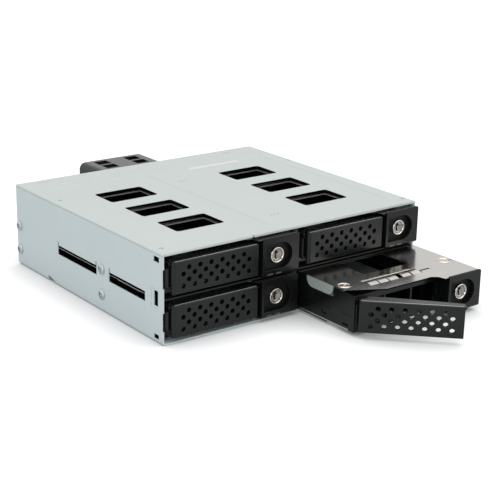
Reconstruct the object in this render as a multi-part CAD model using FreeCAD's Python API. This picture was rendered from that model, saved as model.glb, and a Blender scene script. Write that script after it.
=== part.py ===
"""Hot swap drive cage: four drive trays in a half height 5.25 inch bay.

A folded steel shell with a flat cover holds two columns of two trays.  Each tray slides on a
steel shelf, is opened by a perforated handle on a hinge pin and carries a key lock.  A board with
the drive connectors stands behind the trays, and a 40 mm fan draws air through the rear panel.

Working frame: X to the right, Y from the front edge of the cage to the rear, Z up, millimetres.
The finished parts are moved so that the origin lies in the middle of the four bottom screw holes.
"""
import FreeCAD, Part
import math
import os
from FreeCAD import Vector

# ---- cage ----
CAGE_WIDTH = 146.0
CAGE_HEIGHT = 41.3
CAGE_DEPTH = 132.0
COVER_SHEET = 1.0
SHELL_SHEET = 0.8
SHELL_BEND = 1.5          # outer bend radius along the bottom edges
FLANGE_WIDTH = 7.0        # flanges that carry the cover
FLANGE_ENDS = 4.0         # their distance from the front and rear edges
DIVIDER_WIDTH = 2.9
DIVIDER_WALL = 0.8
SHELF_SHEET = 0.7

# ---- mounting holes, M3 ----
MOUNT_REAR = 2.95         # rear row to the rear edge of the cage
MOUNT_PITCH = 79.25
MOUNT_SIDE = 3.15         # bottom rows to the sides of the cage
MOUNT_LOW = 8.4           # heights of the side rows
MOUNT_HIGH = 20.6
MOUNT_HOLE_R = 1.5
SCREW_PLAY = 0.05
SCREW_HEAD_R = 2.45
SCREW_HEAD_HEIGHT = 1.25
SCREW_HEAD_DRAFT = 0.55   # the head's top is this much smaller in radius

# ---- clearances round the trays ----
WALL_PLAY = 0.1           # tray to the cage's side wall
DIVIDER_PLAY = 0.15       # tray to the centre divider
FLOOR_PLAY = 0.4          # floor of the shell to the lower trays
SHELF_PLAY = 0.15         # shelf to the tray on it
TRAY_ABOVE = 0.45         # tray plate to the shelf above it
COVER_PLAY = 1.2          # tray plate to the cover above it
BOARD_PLAY = 8.0          # rear end of the trays to the board

# ---- tray ----
RUNNER = 0.7              # runner height under the tray body
PLATE_SHEET = 0.6
RAIL_WALL = 1.6
SIDE_SKIN = 0.3           # thin sides beside the drive
SKIN_REAR = 18.6          # rear end of the high part of the sides
PULLED_OUT = 42.5         # how far the lower right tray stands out

# ---- drive, 2.5 inch ----
DRIVE_HEIGHT = 9.5
DRIVE_PLAY = 0.2          # above the drive
DRIVE_SCREW_SIDE = 4.09   # screw rows to the drive's sides
DRIVE_SCREW_FRONT = 9.4
DRIVE_SCREW_REAR = 14.0

# ---- windows in cover and tray plates ----
WINDOW_COUNT = 3
WINDOW_WIDTH = 26.1
WINDOW_DEPTH = 16.86
WINDOW_FIRST = 23.04
WINDOW_REAR = 9.06        # last window to the rear end of the tray
WINDOW_R = 1.5
PLATE_WINDOW_EXTRA = 1.2  # the plate's windows are this much larger in all

# ---- handle ----
HANDLE_SIDE = 3.15        # handle to the tray's left side
HANDLE_GAP = 1.6          # handle to the lock housing
HANDLE_FACE = -2.0
HANDLE_DEPTH = 4.0
HANDLE_SHORTER = 3.5      # its height is this much less than the tray's
HANDLE_LIFT = 0.25        # its middle stands this much above the tray's middle
HANDLE_SKIN = 1.8
HANDLE_RIM = 1.0
HANDLE_NOSE_R = 1.7       # round corner that swings past the cage wall
HANDLE_EDGE_R = 0.5       # bend along the top and bottom of the face
HANDLE_OPEN = 44.0        # degrees
HOLE_R = 1.15
HOLE_MARGIN = 5.04        # outermost holes to the handle's left end
HOLE_SIDE_SHIFT = 0.15
HOLE_ROW_PITCH = 2.73
HOLE_ROWS = (7, 6, 7, 6)  # from the bottom row up

# ---- hinge ----
PIVOT_SIDE = 5.45         # hinge pin to the tray's left side
PIVOT_Y = 4.0
PIN_R = 0.8
PIN_PLAY = 0.05
KNUCKLE_R = 2.2
KNUCKLE_BELOW = 4.6       # knuckle's ends from the handle's middle
KNUCKLE_ABOVE = 4.2
KNUCKLE_PLAY = 0.1
EAR_R = 4.9               # sector beside the knuckle that fills the gap in the wall
EAR_ANGLES = (175.0, 229.0)
HINGE_PLAY = 0.2
LUG_R = 2.2
LUG_LOW = 1.3             # heights of the lugs below and above the knuckle
LUG_HIGH = 1.7
BLOCK_FRONT = 4.5
BLOCK_WIDTH = 9.75

# ---- lock ----
LOCK_WIDTH = 20.4
LOCK_SIDE = 0.05          # housing to the tray's right side
LOCK_FACE = -3.2
LOCK_REAR = 6.8
LOCK_LIP = 0.6            # top of the housing above the plate
LOCK_BOTTOM = 0.9
LOCK_LIFT = 0.4           # lock axis above the handle's middle
PLUG_FROM_LEFT = 9.0      # lock axis to the housing's left side
PLUG_R = 2.85
PLUG_PLAY = 0.05
RING_R = 3.75
RING_FRONT = -2.3
RING_SEAT = 1.0
LOCK_BORE_END = 3.4
CAM_REACH = 5.4
CAM_THICK = 1.4
CAM_PLAY = 0.8

# ---- rear ----
BOARD_THICK = 1.6
BOARD_SPACE = 16.2        # board to the rear panel
PANEL_INSET = 2.2         # front face of the rear panel to the rear edge of the cage
PANEL_THICK = 1.2
PANEL_MARGIN = 0.1
SHROUD_DEPTH = 2.4
FAN_CLEAR = 1.3           # the fan is this much lower than the cage
FAN_DEPTH = 20.0
FAN_X = -4.4
FAN_CORNER = 3.5
FAN_RIM = 1.4             # bore to the side of the frame
FAN_FLANGE = 2.6
FAN_HOLE_SIDE = 4.0
FAN_TIP_PLAY = 0.6
FAN_BLADES = 7
FAN_HUB_R = 10.6

X_AXIS = Vector(1, 0, 0)
Y_AXIS = Vector(0, 1, 0)
Z_AXIS = Vector(0, 0, 1)

# ---- worked out: cage ----
HALF_WIDTH = CAGE_WIDTH / 2
WALL_INSIDE = HALF_WIDTH - SHELL_SHEET
COVER_BOTTOM = CAGE_HEIGHT - COVER_SHEET
MIDDLE_HEIGHT = CAGE_HEIGHT / 2
DIVIDER_HALF = DIVIDER_WIDTH / 2
MOUNT_ACROSS = CAGE_WIDTH - 2 * MOUNT_SIDE
MOUNT_FIRST = CAGE_DEPTH - MOUNT_REAR - MOUNT_PITCH
PANEL_FRONT = CAGE_DEPTH - PANEL_INSET
PANEL_REAR = PANEL_FRONT + PANEL_THICK
BOARD_REAR = PANEL_FRONT - BOARD_SPACE
BOARD_FRONT = BOARD_REAR - BOARD_THICK
ORIGIN = Vector(0, MOUNT_FIRST + MOUNT_PITCH / 2, 0)

# ---- worked out: trays ----
TRAY_INNER = DIVIDER_HALF + DIVIDER_PLAY
TRAY_OUTER = WALL_INSIDE - WALL_PLAY
TRAY_HALF = (TRAY_OUTER - TRAY_INNER) / 2
COLUMN_OFFSET = (TRAY_OUTER + TRAY_INNER) / 2
TRAY_FIRST_BASE = SHELL_SHEET + FLOOR_PLAY
TIER_GAP = SHELF_SHEET + SHELF_PLAY + TRAY_ABOVE
TRAY_PITCH = (COVER_BOTTOM - COVER_PLAY - TRAY_FIRST_BASE + TIER_GAP) / 2
TRAY_HEIGHT = TRAY_PITCH - TIER_GAP
TRAY_REAR = BOARD_FRONT - BOARD_PLAY
PLATE_BOTTOM = TRAY_HEIGHT - PLATE_SHEET
SHELF_TOP = TRAY_FIRST_BASE + TRAY_PITCH - SHELF_PLAY
RAIL_TOP = PLATE_BOTTOM - DRIVE_HEIGHT - DRIVE_PLAY
WINDOW_PITCH = (TRAY_REAR - WINDOW_REAR - WINDOW_DEPTH - WINDOW_FIRST) / (WINDOW_COUNT - 1)

# ---- worked out: handle and lock ----
MIDDLE_Z = TRAY_HEIGHT / 2 + HANDLE_LIFT
LOCK_RIGHT = TRAY_HALF - LOCK_SIDE
LOCK_LEFT = LOCK_RIGHT - LOCK_WIDTH
LOCK_TOP = TRAY_HEIGHT + LOCK_LIP
LOCK_Z = MIDDLE_Z + LOCK_LIFT
PLUG_X = LOCK_LEFT + PLUG_FROM_LEFT
HANDLE_LEFT = -TRAY_HALF + HANDLE_SIDE
HANDLE_RIGHT = LOCK_LEFT - HANDLE_GAP
HANDLE_HEIGHT = TRAY_HEIGHT - HANDLE_SHORTER
HANDLE_RIM_PLAY = 1.0
HOLE_CENTRE = (HANDLE_LEFT + HANDLE_RIGHT) / 2 + HOLE_SIDE_SHIFT
HOLE_PITCH = 2 * (HOLE_CENTRE - HANDLE_LEFT - HOLE_MARGIN - 2 * HOLE_SIDE_SHIFT) / (max(HOLE_ROWS) - 1)
PIVOT_X = -TRAY_HALF + PIVOT_SIDE
BLOCK_RIGHT = -TRAY_HALF + BLOCK_WIDTH
HANDLE_RIM_LEFT = BLOCK_RIGHT - HANDLE_RIM_PLAY
KNUCKLE_Z = (MIDDLE_Z - KNUCKLE_BELOW, MIDDLE_Z + KNUCKLE_ABOVE)
LUGS_Z = ((KNUCKLE_Z[0] - KNUCKLE_PLAY - LUG_LOW, KNUCKLE_Z[0] - KNUCKLE_PLAY),
          (KNUCKLE_Z[1] + KNUCKLE_PLAY, KNUCKLE_Z[1] + KNUCKLE_PLAY + LUG_HIGH))

# ---- worked out: fan ----
FAN_SIZE = CAGE_HEIGHT - FAN_CLEAR
FAN_BORE_R = FAN_SIZE / 2 - FAN_RIM
FAN_HOLE_PITCH = FAN_SIZE - 2 * FAN_HOLE_SIDE
FAN_FRONT = PANEL_REAR + SHROUD_DEPTH
FAN_REAR = FAN_FRONT + FAN_DEPTH
FAN_Z = MIDDLE_HEIGHT

TRAYS = {
    "upper_left": (-COLUMN_OFFSET, TRAY_FIRST_BASE + TRAY_PITCH, 0.0),
    "lower_left": (-COLUMN_OFFSET, TRAY_FIRST_BASE, 0.0),
    "upper_right": (COLUMN_OFFSET, TRAY_FIRST_BASE + TRAY_PITCH, 0.0),
    "lower_right": (COLUMN_OFFSET, TRAY_FIRST_BASE, PULLED_OUT),
}


# ---- helpers ----
def box(x, y, z):
    """A box from (low, high) pairs."""
    return Part.makeBox(x[1] - x[0], y[1] - y[0], z[1] - z[0], Vector(x[0], y[0], z[0]))


def centred_box(centre, size):
    spans = [(c - s / 2, c + s / 2) for c, s in zip(centre, size)]
    return box(*spans)


def rod(start, axis, radius, length):
    return Part.makeCylinder(radius, length, Vector(*start), axis)


def prism(points, sweep):
    corners = [Vector(*point) for point in points]
    return Part.Face(Part.makePolygon(corners + corners[:1])).extrude(sweep)


def join(first, others):
    return first.fuse(list(others)).removeSplitter()


def edges_along(shape, axis, keep=lambda edge: True):
    """Straight edges parallel to an axis."""
    found = []
    for edge in shape.Edges:
        if not isinstance(edge.Curve, Part.Line):
            continue
        if abs(abs(edge.Curve.Direction.dot(axis)) - 1) < 1e-6 and keep(edge):
            found.append(edge)
    return found


def rounded(shape, axis, radius, keep=lambda edge: True):
    return shape.makeFillet(radius, edges_along(shape, axis, keep))


def mirrored_x(shape):
    return shape.mirror(Vector(0, 0, 0), X_AXIS)


def both_sides(shape):
    return [shape, mirrored_x(shape)]


def window_fronts():
    return [WINDOW_FIRST + index * WINDOW_PITCH for index in range(WINDOW_COUNT)]


def windows(centre_x, z, extra=0.0):
    """The row of windows above one column, as tools to cut with."""
    tools = []
    for front in window_fronts():
        tool = box((centre_x - (WINDOW_WIDTH + extra) / 2, centre_x + (WINDOW_WIDTH + extra) / 2),
                   (front - extra / 2, front + WINDOW_DEPTH + extra / 2), z)
        tools.append(rounded(tool, Z_AXIS, WINDOW_R))
    return tools


def mount_rows():
    return (MOUNT_FIRST, MOUNT_FIRST + MOUNT_PITCH)


# ---- shell ----
SLOT_Z = (SHELF_TOP - 4.25, SHELF_TOP + 0.35)
SLOT_NOTCH_TOP = SLOT_Z[1] + 1.9
SLOT_NOTCH = 0.9
FRONT_SLOT = (13.7, MOUNT_FIRST - 6.0)
REAR_SLOT = (MOUNT_FIRST + 4.7, MOUNT_FIRST + 40.7)
MIDDLE_HOLE_Z = (SHELF_TOP - 3.75, SHELF_TOP + 3.25)
SQUARE_HOLES = (((2.7, 6.9), (CAGE_HEIGHT - 4.5, CAGE_HEIGHT - 2.0)),
                ((3.0, 6.7), (1.9, 4.0)),
                ((3.5, 6.6), MIDDLE_HOLE_Z))
EAR_NOTCH_DEPTH = 1.0
EAR_NOTCH_PLAY = 0.2
PRESS_DEPTH = 0.25
PRESS_WIDTH = 0.7
PRESS_Y = (3.5, 8.3)
PRESS_Z = (MIDDLE_HOLE_Z[0] - 1.6, MIDDLE_HOLE_Z[1] + 1.0)
FOOT_NOTCH_FROM_REAR = 38.0
FOOT_NOTCH_FRONT = CAGE_DEPTH - FOOT_NOTCH_FROM_REAR
FOOT_NOTCH_LENGTH = 7.0
FOOT_NOTCH_HEIGHTS = (1.4, 2.6)  # at its front and rear ends
FOOT_NOTCH_REACH = 4.0    # into the floor
REAR_TAB_WIDTH = 7.0
REAR_TABS = ((MIDDLE_HEIGHT - 9.15, MIDDLE_HEIGHT - 2.65),
             (MIDDLE_HEIGHT + 4.85, MIDDLE_HEIGHT + 11.85))
PANEL_SCREW_X = WALL_INSIDE - 4.0


def wall_tools():
    """What is cut from the left wall."""
    wall = (-HALF_WIDTH - 1, -WALL_INSIDE + 0.5)
    tools = [box(wall, REAR_SLOT, SLOT_Z), box(wall, FRONT_SLOT, SLOT_Z)]
    notch_z = (SLOT_Z[0], SLOT_NOTCH_TOP)
    for start in (REAR_SLOT[0], REAR_SLOT[1] - SLOT_NOTCH, FRONT_SLOT[1] - SLOT_NOTCH):
        tools.append(box(wall, (start, start + SLOT_NOTCH), notch_z))
    tools += [box(wall, y, z) for y, z in SQUARE_HOLES]
    for base in (TRAY_FIRST_BASE, TRAY_FIRST_BASE + TRAY_PITCH):
        span = (base + KNUCKLE_Z[0] + EAR_NOTCH_PLAY, base + KNUCKLE_Z[1])
        tools.append(box(wall, (-1, EAR_NOTCH_DEPTH), span))
    for y in mount_rows():
        for z in (MOUNT_LOW, MOUNT_HIGH):
            tools.append(rod((wall[0], y, z), X_AXIS, MOUNT_HOLE_R, wall[1] - wall[0]))
    # pressed lines: an angle round the middle hole, and the edge of the stepped front strip
    skin = (-HALF_WIDTH - 1, -HALF_WIDTH + PRESS_DEPTH)
    tools.append(box(skin, (PRESS_Y[1], PRESS_Y[1] + PRESS_WIDTH), PRESS_Z))
    for z in (PRESS_Z[0], PRESS_Z[1] - PRESS_WIDTH):
        tools.append(box(skin, PRESS_Y, (z, z + PRESS_WIDTH)))
    tools.append(foot_notch())
    return tools


def foot_notch():
    """Sloping cut-out through the lower edge of the wall."""
    start, rear = FOOT_NOTCH_FRONT, FOOT_NOTCH_FRONT + FOOT_NOTCH_LENGTH
    low, high = FOOT_NOTCH_HEIGHTS
    x = -HALF_WIDTH - 1
    corners = [(x, start, -1), (x, start, low), (x, rear - 1.5, high), (x, rear, high), (x, rear, -1)]
    return prism(corners, Vector(FOOT_NOTCH_REACH + 1, 0, 0))


def chassis_shell():
    """Bottom and side walls, folded from one sheet, with flanges for cover and rear panel."""
    outside = box((-HALF_WIDTH, HALF_WIDTH), (0, CAGE_DEPTH), (0, COVER_BOTTOM))
    outside = rounded(outside, Y_AXIS, SHELL_BEND, lambda edge: edge.CenterOfMass.z < 0.01)
    inside = box((-WALL_INSIDE, WALL_INSIDE), (-1, CAGE_DEPTH + 1),
                 (SHELL_SHEET, CAGE_HEIGHT))
    inside = rounded(inside, Y_AXIS, SHELL_BEND - SHELL_SHEET,
                     lambda edge: edge.CenterOfMass.z < SHELL_SHEET + 0.01)
    shell = outside.cut(inside)
    flange = box((-WALL_INSIDE - 0.2, -WALL_INSIDE + FLANGE_WIDTH),
                 (FLANGE_ENDS, CAGE_DEPTH - FLANGE_ENDS), (COVER_BOTTOM - SHELL_SHEET, COVER_BOTTOM))
    tabs = [box((-WALL_INSIDE - 0.2, -WALL_INSIDE + REAR_TAB_WIDTH),
                (PANEL_FRONT - SHELL_SHEET, PANEL_FRONT), z) for z in REAR_TABS]
    added = []
    for piece in [flange] + tabs:
        added += both_sides(piece)
    shell = join(shell, added)
    tools = []
    for tool in wall_tools():
        tools += both_sides(tool)
    for x in (-MOUNT_ACROSS / 2, MOUNT_ACROSS / 2):
        for y in mount_rows():
            tools.append(rod((x, y, -1), Z_AXIS, MOUNT_HOLE_R, 3))
    for x, z in panel_screw_places():
        tools.append(rod((x, PANEL_FRONT - 2, z), Y_AXIS, MOUNT_HOLE_R, 3))
    return shell.cut(tools)


def panel_screw_places():
    heights = [sum(z) / 2 for z in REAR_TABS]
    return [(side * PANEL_SCREW_X, z) for side in (-1, 1) for z in heights]


# ---- cover ----
GROOVE_R = 1.4
GROOVE_DEPTH = 0.42
GROOVE_STARTS = (-HALF_WIDTH + 10.8, 15.0)
GROOVE_LEG = 27.15        # from the column centre
GROOVE_REAR = CAGE_DEPTH - 18.3
GROOVE_FRONT = 11.0
GROOVE_CUT_CORNER = 2.2
STAKES = ((-HALF_WIDTH + 10.1, CAGE_DEPTH - 4.3), (0.3, 20.0), (-1.7, CAGE_DEPTH - 40.0),
          (HALF_WIDTH - 23.0, CAGE_DEPTH - 5.5))
STAKE_PITCH = 2.0
STAKE_R = 0.6
STAKE_DEPTH = 0.3
DIMPLES = ((-HALF_WIDTH + 4.5, 7.7), (-HALF_WIDTH + 4.3, CAGE_DEPTH - 37.0),
           (HALF_WIDTH - 2.3, 6.7), (HALF_WIDTH - 1.6, CAGE_DEPTH - 36.7))
DIMPLE_R = 1.1
DIMPLE_DEPTH = 0.5
COVER_NOTCH_PLACE = 11.25         # its left edge from the left column's centre
COVER_NOTCH = (1.3, 0.9)          # width, depth


def groove(centre_x, start_x):
    """A shallow round line along the rear and down the right side of a column."""
    z = CAGE_HEIGHT + GROOVE_R - GROOVE_DEPTH
    points = [Vector(start_x, GROOVE_REAR, z),
              Vector(centre_x + GROOVE_LEG - GROOVE_CUT_CORNER, GROOVE_REAR, z),
              Vector(centre_x + GROOVE_LEG, GROOVE_REAR - GROOVE_CUT_CORNER, z),
              Vector(centre_x + GROOVE_LEG, GROOVE_FRONT, z)]
    pieces = [Part.makeSphere(GROOVE_R, point) for point in points]
    for start, end in zip(points, points[1:]):
        run = end.sub(start)
        pieces.append(Part.makeCylinder(GROOVE_R, run.Length, start, run))
    return join(pieces[0], pieces[1:])


def top_cover():
    """Flat cover with windows, pressed lines, stake marks and dimples."""
    cover = box((-HALF_WIDTH, HALF_WIDTH), (0, CAGE_DEPTH), (COVER_BOTTOM, CAGE_HEIGHT))
    cover = rounded(cover, Y_AXIS, 0.5, lambda edge: edge.CenterOfMass.z > CAGE_HEIGHT - 0.01)
    seam = edges_along(cover, Y_AXIS, lambda edge: edge.CenterOfMass.z < COVER_BOTTOM + 0.01)
    cover = cover.makeChamfer(0.2, seam)
    through = (COVER_BOTTOM - 1, CAGE_HEIGHT + 1)
    tools = []
    for centre_x, start_x in zip((-COLUMN_OFFSET, COLUMN_OFFSET), GROOVE_STARTS):
        tools += windows(centre_x, through)
        tools.append(groove(centre_x, start_x))
    start = -COLUMN_OFFSET + COVER_NOTCH_PLACE
    tools.append(box((start, start + COVER_NOTCH[0]), (-1, COVER_NOTCH[1]), through))
    for x, y in STAKES:
        for index in range(3):
            tools.append(rod((x + index * STAKE_PITCH, y, CAGE_HEIGHT - STAKE_DEPTH), Z_AXIS,
                             STAKE_R, 1))
    for x, y in DIMPLES:
        tools.append(rod((x, y, CAGE_HEIGHT - DIMPLE_DEPTH), Z_AXIS, DIMPLE_R, 1))
    return cover.cut(tools)


# ---- inside ----
DIVIDER_FRONT = 1.2
DIVIDER_REAR = BOARD_FRONT - 0.4
SHELF_FRONT = 1.0
SHELF_REAR = BOARD_FRONT - 3.0
SHELF_RELIEF = 2.0


def centre_divider():
    """Channel between the columns, with a closed front."""
    height = (SHELL_SHEET, COVER_BOTTOM)
    body = box((-DIVIDER_HALF, DIVIDER_HALF), (DIVIDER_FRONT, DIVIDER_REAR), height)
    body = rounded(body, Z_AXIS, 0.7, lambda edge: edge.CenterOfMass.y < DIVIDER_FRONT + 0.01)
    hollow = box((-DIVIDER_HALF + DIVIDER_WALL, DIVIDER_HALF - DIVIDER_WALL),
                 (DIVIDER_FRONT + DIVIDER_WALL, DIVIDER_REAR + 1),
                 (SHELL_SHEET + DIVIDER_WALL, COVER_BOTTOM - DIVIDER_WALL))
    return body.cut(hollow)


def shelf(side):
    """Steel shelf under the upper tray of one column."""
    z = (SHELF_TOP - SHELF_SHEET, SHELF_TOP)
    sheet = box((-WALL_INSIDE, -DIVIDER_HALF), (SHELF_FRONT, SHELF_REAR), z)
    through = (z[0] - 1, z[1] + 1)
    tools = []
    for slot in (REAR_SLOT, FRONT_SLOT):
        tools.append(box((-HALF_WIDTH, -WALL_INSIDE + SHELF_RELIEF), (slot[0] - 0.5, slot[1] + 0.5),
                         through))
    sheet = sheet.cut(tools)
    return sheet if side < 0 else mirrored_x(sheet)


# ---- tray plate ----
PLATE_LOCK_FRONT = LOCK_FACE + 0.8
PLATE_FRONT = 3.0
PLATE_CORNER = 11.5       # where the left side starts
PLATE_OUTLINE = ((-TRAY_HALF, TRAY_REAR), (-TRAY_HALF, PLATE_CORNER), (BLOCK_RIGHT + 7.0, PLATE_FRONT),
                 (LOCK_LEFT - 5.6, PLATE_FRONT), (LOCK_LEFT - 3.0, 1.2),
                 (LOCK_LEFT - 2.0, PLATE_LOCK_FRONT), (LOCK_RIGHT, PLATE_LOCK_FRONT),
                 (LOCK_RIGHT, LOCK_REAR), (TRAY_HALF, LOCK_REAR), (TRAY_HALF, TRAY_REAR))
LOBE_Y = (SKIN_REAR + 0.1, 32.0)
LOBE_DEPTH = 5.0          # below the plate's top
LOBE_R = 4.0
SINK_R = 3.3
SINK_DEPTH = 0.35
FINGER_SLOT_SIDE = 4.3    # to the hinge block
FINGER_SLOT_LEFT = BLOCK_RIGHT + FINGER_SLOT_SIDE
FINGER_SLOT_LENGTH = 38.2
FINGER_SLOT = ((FINGER_SLOT_LEFT, FINGER_SLOT_LEFT + FINGER_SLOT_LENGTH), (9.7, 17.3))
PILOT_HOLE = (TRAY_HALF - 1.75, 15.0, 0.8)

# ---- drive space ----
FRONT_WALL = (4.6, 6.8)
DRIVE_HALF = TRAY_HALF - SIDE_SKIN
DRIVE_FRONT = FRONT_WALL[1] + 0.3
DRIVE_CONNECTOR_DEPTH = 4.7
DRIVE_REAR = BOARD_FRONT - DRIVE_CONNECTOR_DEPTH - 0.2
DRIVE_SCREW_X = DRIVE_HALF - DRIVE_SCREW_SIDE
DRIVE_SCREW_Y = (DRIVE_FRONT + DRIVE_SCREW_FRONT, DRIVE_REAR - DRIVE_SCREW_REAR)


def sink(x, y, radius):
    """Round pressed seat for a screw head, with its hole."""
    top = TRAY_HEIGHT
    cone = Part.makeCone(radius - SINK_DEPTH, radius, SINK_DEPTH,
                         Vector(x, y, top - SINK_DEPTH), Z_AXIS)
    lip = rod((x, y, top), Z_AXIS, radius, 1)
    return [cone, lip, rod((x, y, PLATE_BOTTOM - 1), Z_AXIS, MOUNT_HOLE_R, 3)]


def plate_lobe():
    """Folded lobe at the side of the plate, behind the high part of the frame's side."""
    lobe = box((-TRAY_HALF, -TRAY_HALF + SIDE_SKIN), LOBE_Y,
               (TRAY_HEIGHT - LOBE_DEPTH, PLATE_BOTTOM))
    return rounded(lobe, X_AXIS, LOBE_R, lambda edge: edge.CenterOfMass.z < PLATE_BOTTOM - 1)


def tray_plate():
    """Steel plate on top of a tray, with folded side lobes."""
    plate = prism([(x, y, PLATE_BOTTOM) for x, y in PLATE_OUTLINE], Vector(0, 0, PLATE_SHEET))
    plate = join(plate, both_sides(plate_lobe()))
    tools = windows(0.0, (PLATE_BOTTOM - 1, TRAY_HEIGHT + 1), PLATE_WINDOW_EXTRA)
    tools.append(box(*FINGER_SLOT, (PLATE_BOTTOM - 1, TRAY_HEIGHT + 1)))
    for x in (-DRIVE_SCREW_X, DRIVE_SCREW_X):
        for y in DRIVE_SCREW_Y:
            tools += sink(x, y, SINK_R)
    x, y, radius = PILOT_HOLE
    tools.append(rod((x, y, PLATE_BOTTOM - 1), Z_AXIS, radius, 3))
    return plate.cut(tools)


# ---- spring fingers ----
FINGER_PLACES = (3.0, 8.9, 14.8, 22.8, 28.9)      # from the slot's left end
FINGER_CENTRES = [FINGER_SLOT_LEFT + place for place in FINGER_PLACES]
FINGER_WIDTH = 5.2
FINGER_SHEET = 0.2
FINGER_RISE = 0.3         # crest above the plate
FINGER_RAIL = 1.2
FINGER_FOOT = 0.4
FINGER_RAIL_END = 1.0     # rails past the slot's left end and the last leaf
FINGER_INSET = 0.05       # leaf's ends from the slot's edges


def spring_fingers():
    """Arched contact springs that stand up through the slot in the plate."""
    (left, _), (front, rear) = FINGER_SLOT
    low = PLATE_BOTTOM - FINGER_SHEET
    right = FINGER_CENTRES[-1] + FINGER_WIDTH / 2 + FINGER_RAIL_END
    rails = [box((left - FINGER_RAIL_END, right), span, (low, PLATE_BOTTOM))
             for span in ((front - FINGER_RAIL, front + FINGER_FOOT),
                          (rear - FINGER_FOOT, rear + FINGER_RAIL))]
    middle = (front + rear) / 2
    crest = TRAY_HEIGHT + FINGER_RISE
    leaves = []
    for centre in FINGER_CENTRES:
        start = centre - FINGER_WIDTH / 2
        curves = []
        for drop in (0, FINGER_SHEET):
            ends = [Vector(start, front + FINGER_INSET, PLATE_BOTTOM - drop),
                    Vector(start, middle, crest - drop),
                    Vector(start, rear - FINGER_INSET, PLATE_BOTTOM - drop)]
            curves.append((ends, Part.Arc(*ends).toShape()))
        (upper_ends, upper), (lower_ends, lower) = curves
        sides = [Part.makeLine(upper_ends[index], lower_ends[index]) for index in (0, 2)]
        wire = Part.Wire(Part.__sortEdges__([upper, sides[1], lower, sides[0]]))
        leaves.append(Part.Face(wire).extrude(Vector(FINGER_WIDTH, 0, 0)))
    return join(rails[0], rails[1:] + leaves)


# ---- tray frame ----
FRONT_VENTS = 5
FRONT_VENT_HEIGHT = HANDLE_HEIGHT - 3.8
FRONT_BAR = 1.0
SIDE_SLIT = ((6.2, 12.4), (RAIL_TOP - 0.2, RAIL_TOP + 0.3))
SIDE_NOTCH = ((8.0, 12.0), (2.6, 3.4))
SIDE_DETENT = ((22.6, 26.4), (3.5, 5.5))
REAR_BAR = (3.0, 5.0)     # depth and top


def drive_space():
    return box((-DRIVE_HALF, DRIVE_HALF), (DRIVE_FRONT - 0.1, TRAY_REAR + 1),
               (RAIL_TOP, PLATE_BOTTOM))


def hinge_lug(z):
    lug = rod((PIVOT_X, PIVOT_Y, z[0]), Z_AXIS, LUG_R, z[1] - z[0])
    root = box((PIVOT_X - LUG_R, PIVOT_X + LUG_R), (PIVOT_Y, BLOCK_FRONT + 0.5), z)
    return join(lug, [root])


def hinge_block():
    """Moulded block at the left front corner that carries the hinge pin."""
    block = box((-TRAY_HALF, BLOCK_RIGHT), (BLOCK_FRONT, SKIN_REAR), (RUNNER, PLATE_BOTTOM))
    block = join(block, [hinge_lug(z) for z in LUGS_Z])
    band = (KNUCKLE_Z[0] - HINGE_PLAY, KNUCKLE_Z[1] + HINGE_PLAY)
    band = (max(band[0], LUGS_Z[0][1]), min(band[1], LUGS_Z[1][0]))
    pocket_r = EAR_R + HINGE_PLAY
    tools = [rod((PIVOT_X, PIVOT_Y, band[0]), Z_AXIS, pocket_r, band[1] - band[0]),
             drive_space(),
             box((-TRAY_HALF + RAIL_WALL, BLOCK_RIGHT - RAIL_WALL),
                 (PIVOT_Y + pocket_r + 1.2, SKIN_REAR + 1), (RUNNER + 1.0, RAIL_TOP + 1)),
             rod((PIVOT_X, PIVOT_Y, LUGS_Z[0][0] - 1), Z_AXIS, PIN_R + 0.02,
                 LUGS_Z[1][1] - LUGS_Z[0][0] + 2),
             box((-TRAY_HALF - 1, -TRAY_HALF + 0.15), *SIDE_SLIT),
             box((-TRAY_HALF - 1, -TRAY_HALF + 0.8), *SIDE_NOTCH)]
    return block.cut(tools)


def front_wall():
    """Recessed front wall with a row of vents."""
    wall = box((BLOCK_RIGHT - 0.5, LOCK_LEFT), FRONT_WALL, (RUNNER, PLATE_BOTTOM))
    pitch = (LOCK_LEFT - BLOCK_RIGHT) / FRONT_VENTS
    vents = []
    for index in range(FRONT_VENTS):
        centre = (BLOCK_RIGHT + (index + 0.5) * pitch, sum(FRONT_WALL) / 2, MIDDLE_Z)
        vents.append(centred_box(centre, (pitch - FRONT_BAR, 4, FRONT_VENT_HEIGHT)))
    return wall.cut(vents)


def side_rail():
    """Left rail with its runner; thin above the drive's underside."""
    side = (-TRAY_HALF, -TRAY_HALF + RAIL_WALL)
    rail = box(side, (LOCK_REAR, TRAY_REAR), (RUNNER, RAIL_TOP))
    web = box((-TRAY_HALF, -TRAY_HALF + SIDE_SKIN), (LOCK_REAR, TRAY_REAR), (RAIL_TOP, PLATE_BOTTOM))
    runner = box((-TRAY_HALF, -TRAY_HALF + 2.8), (SKIN_REAR + 4, TRAY_REAR - 2), (0, RUNNER + 0.5))
    rail = join(rail, [web, runner])
    lobe = box((-TRAY_HALF - 1, -TRAY_HALF + 1), (LOBE_Y[0] - 0.1, LOBE_Y[1] + 0.1),
               (TRAY_HEIGHT - LOBE_DEPTH - 0.1, PLATE_BOTTOM + 1))
    line = box((-TRAY_HALF - 1, -TRAY_HALF + 0.15), (SKIN_REAR + 1, TRAY_REAR - 3),
               (RAIL_TOP - 0.7, RAIL_TOP - 0.3))
    detent = box((-TRAY_HALF - 1, -TRAY_HALF + 0.5), *SIDE_DETENT)
    detent = rounded(detent, X_AXIS, 0.95)
    return rail.cut([lobe, line, detent])


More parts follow.
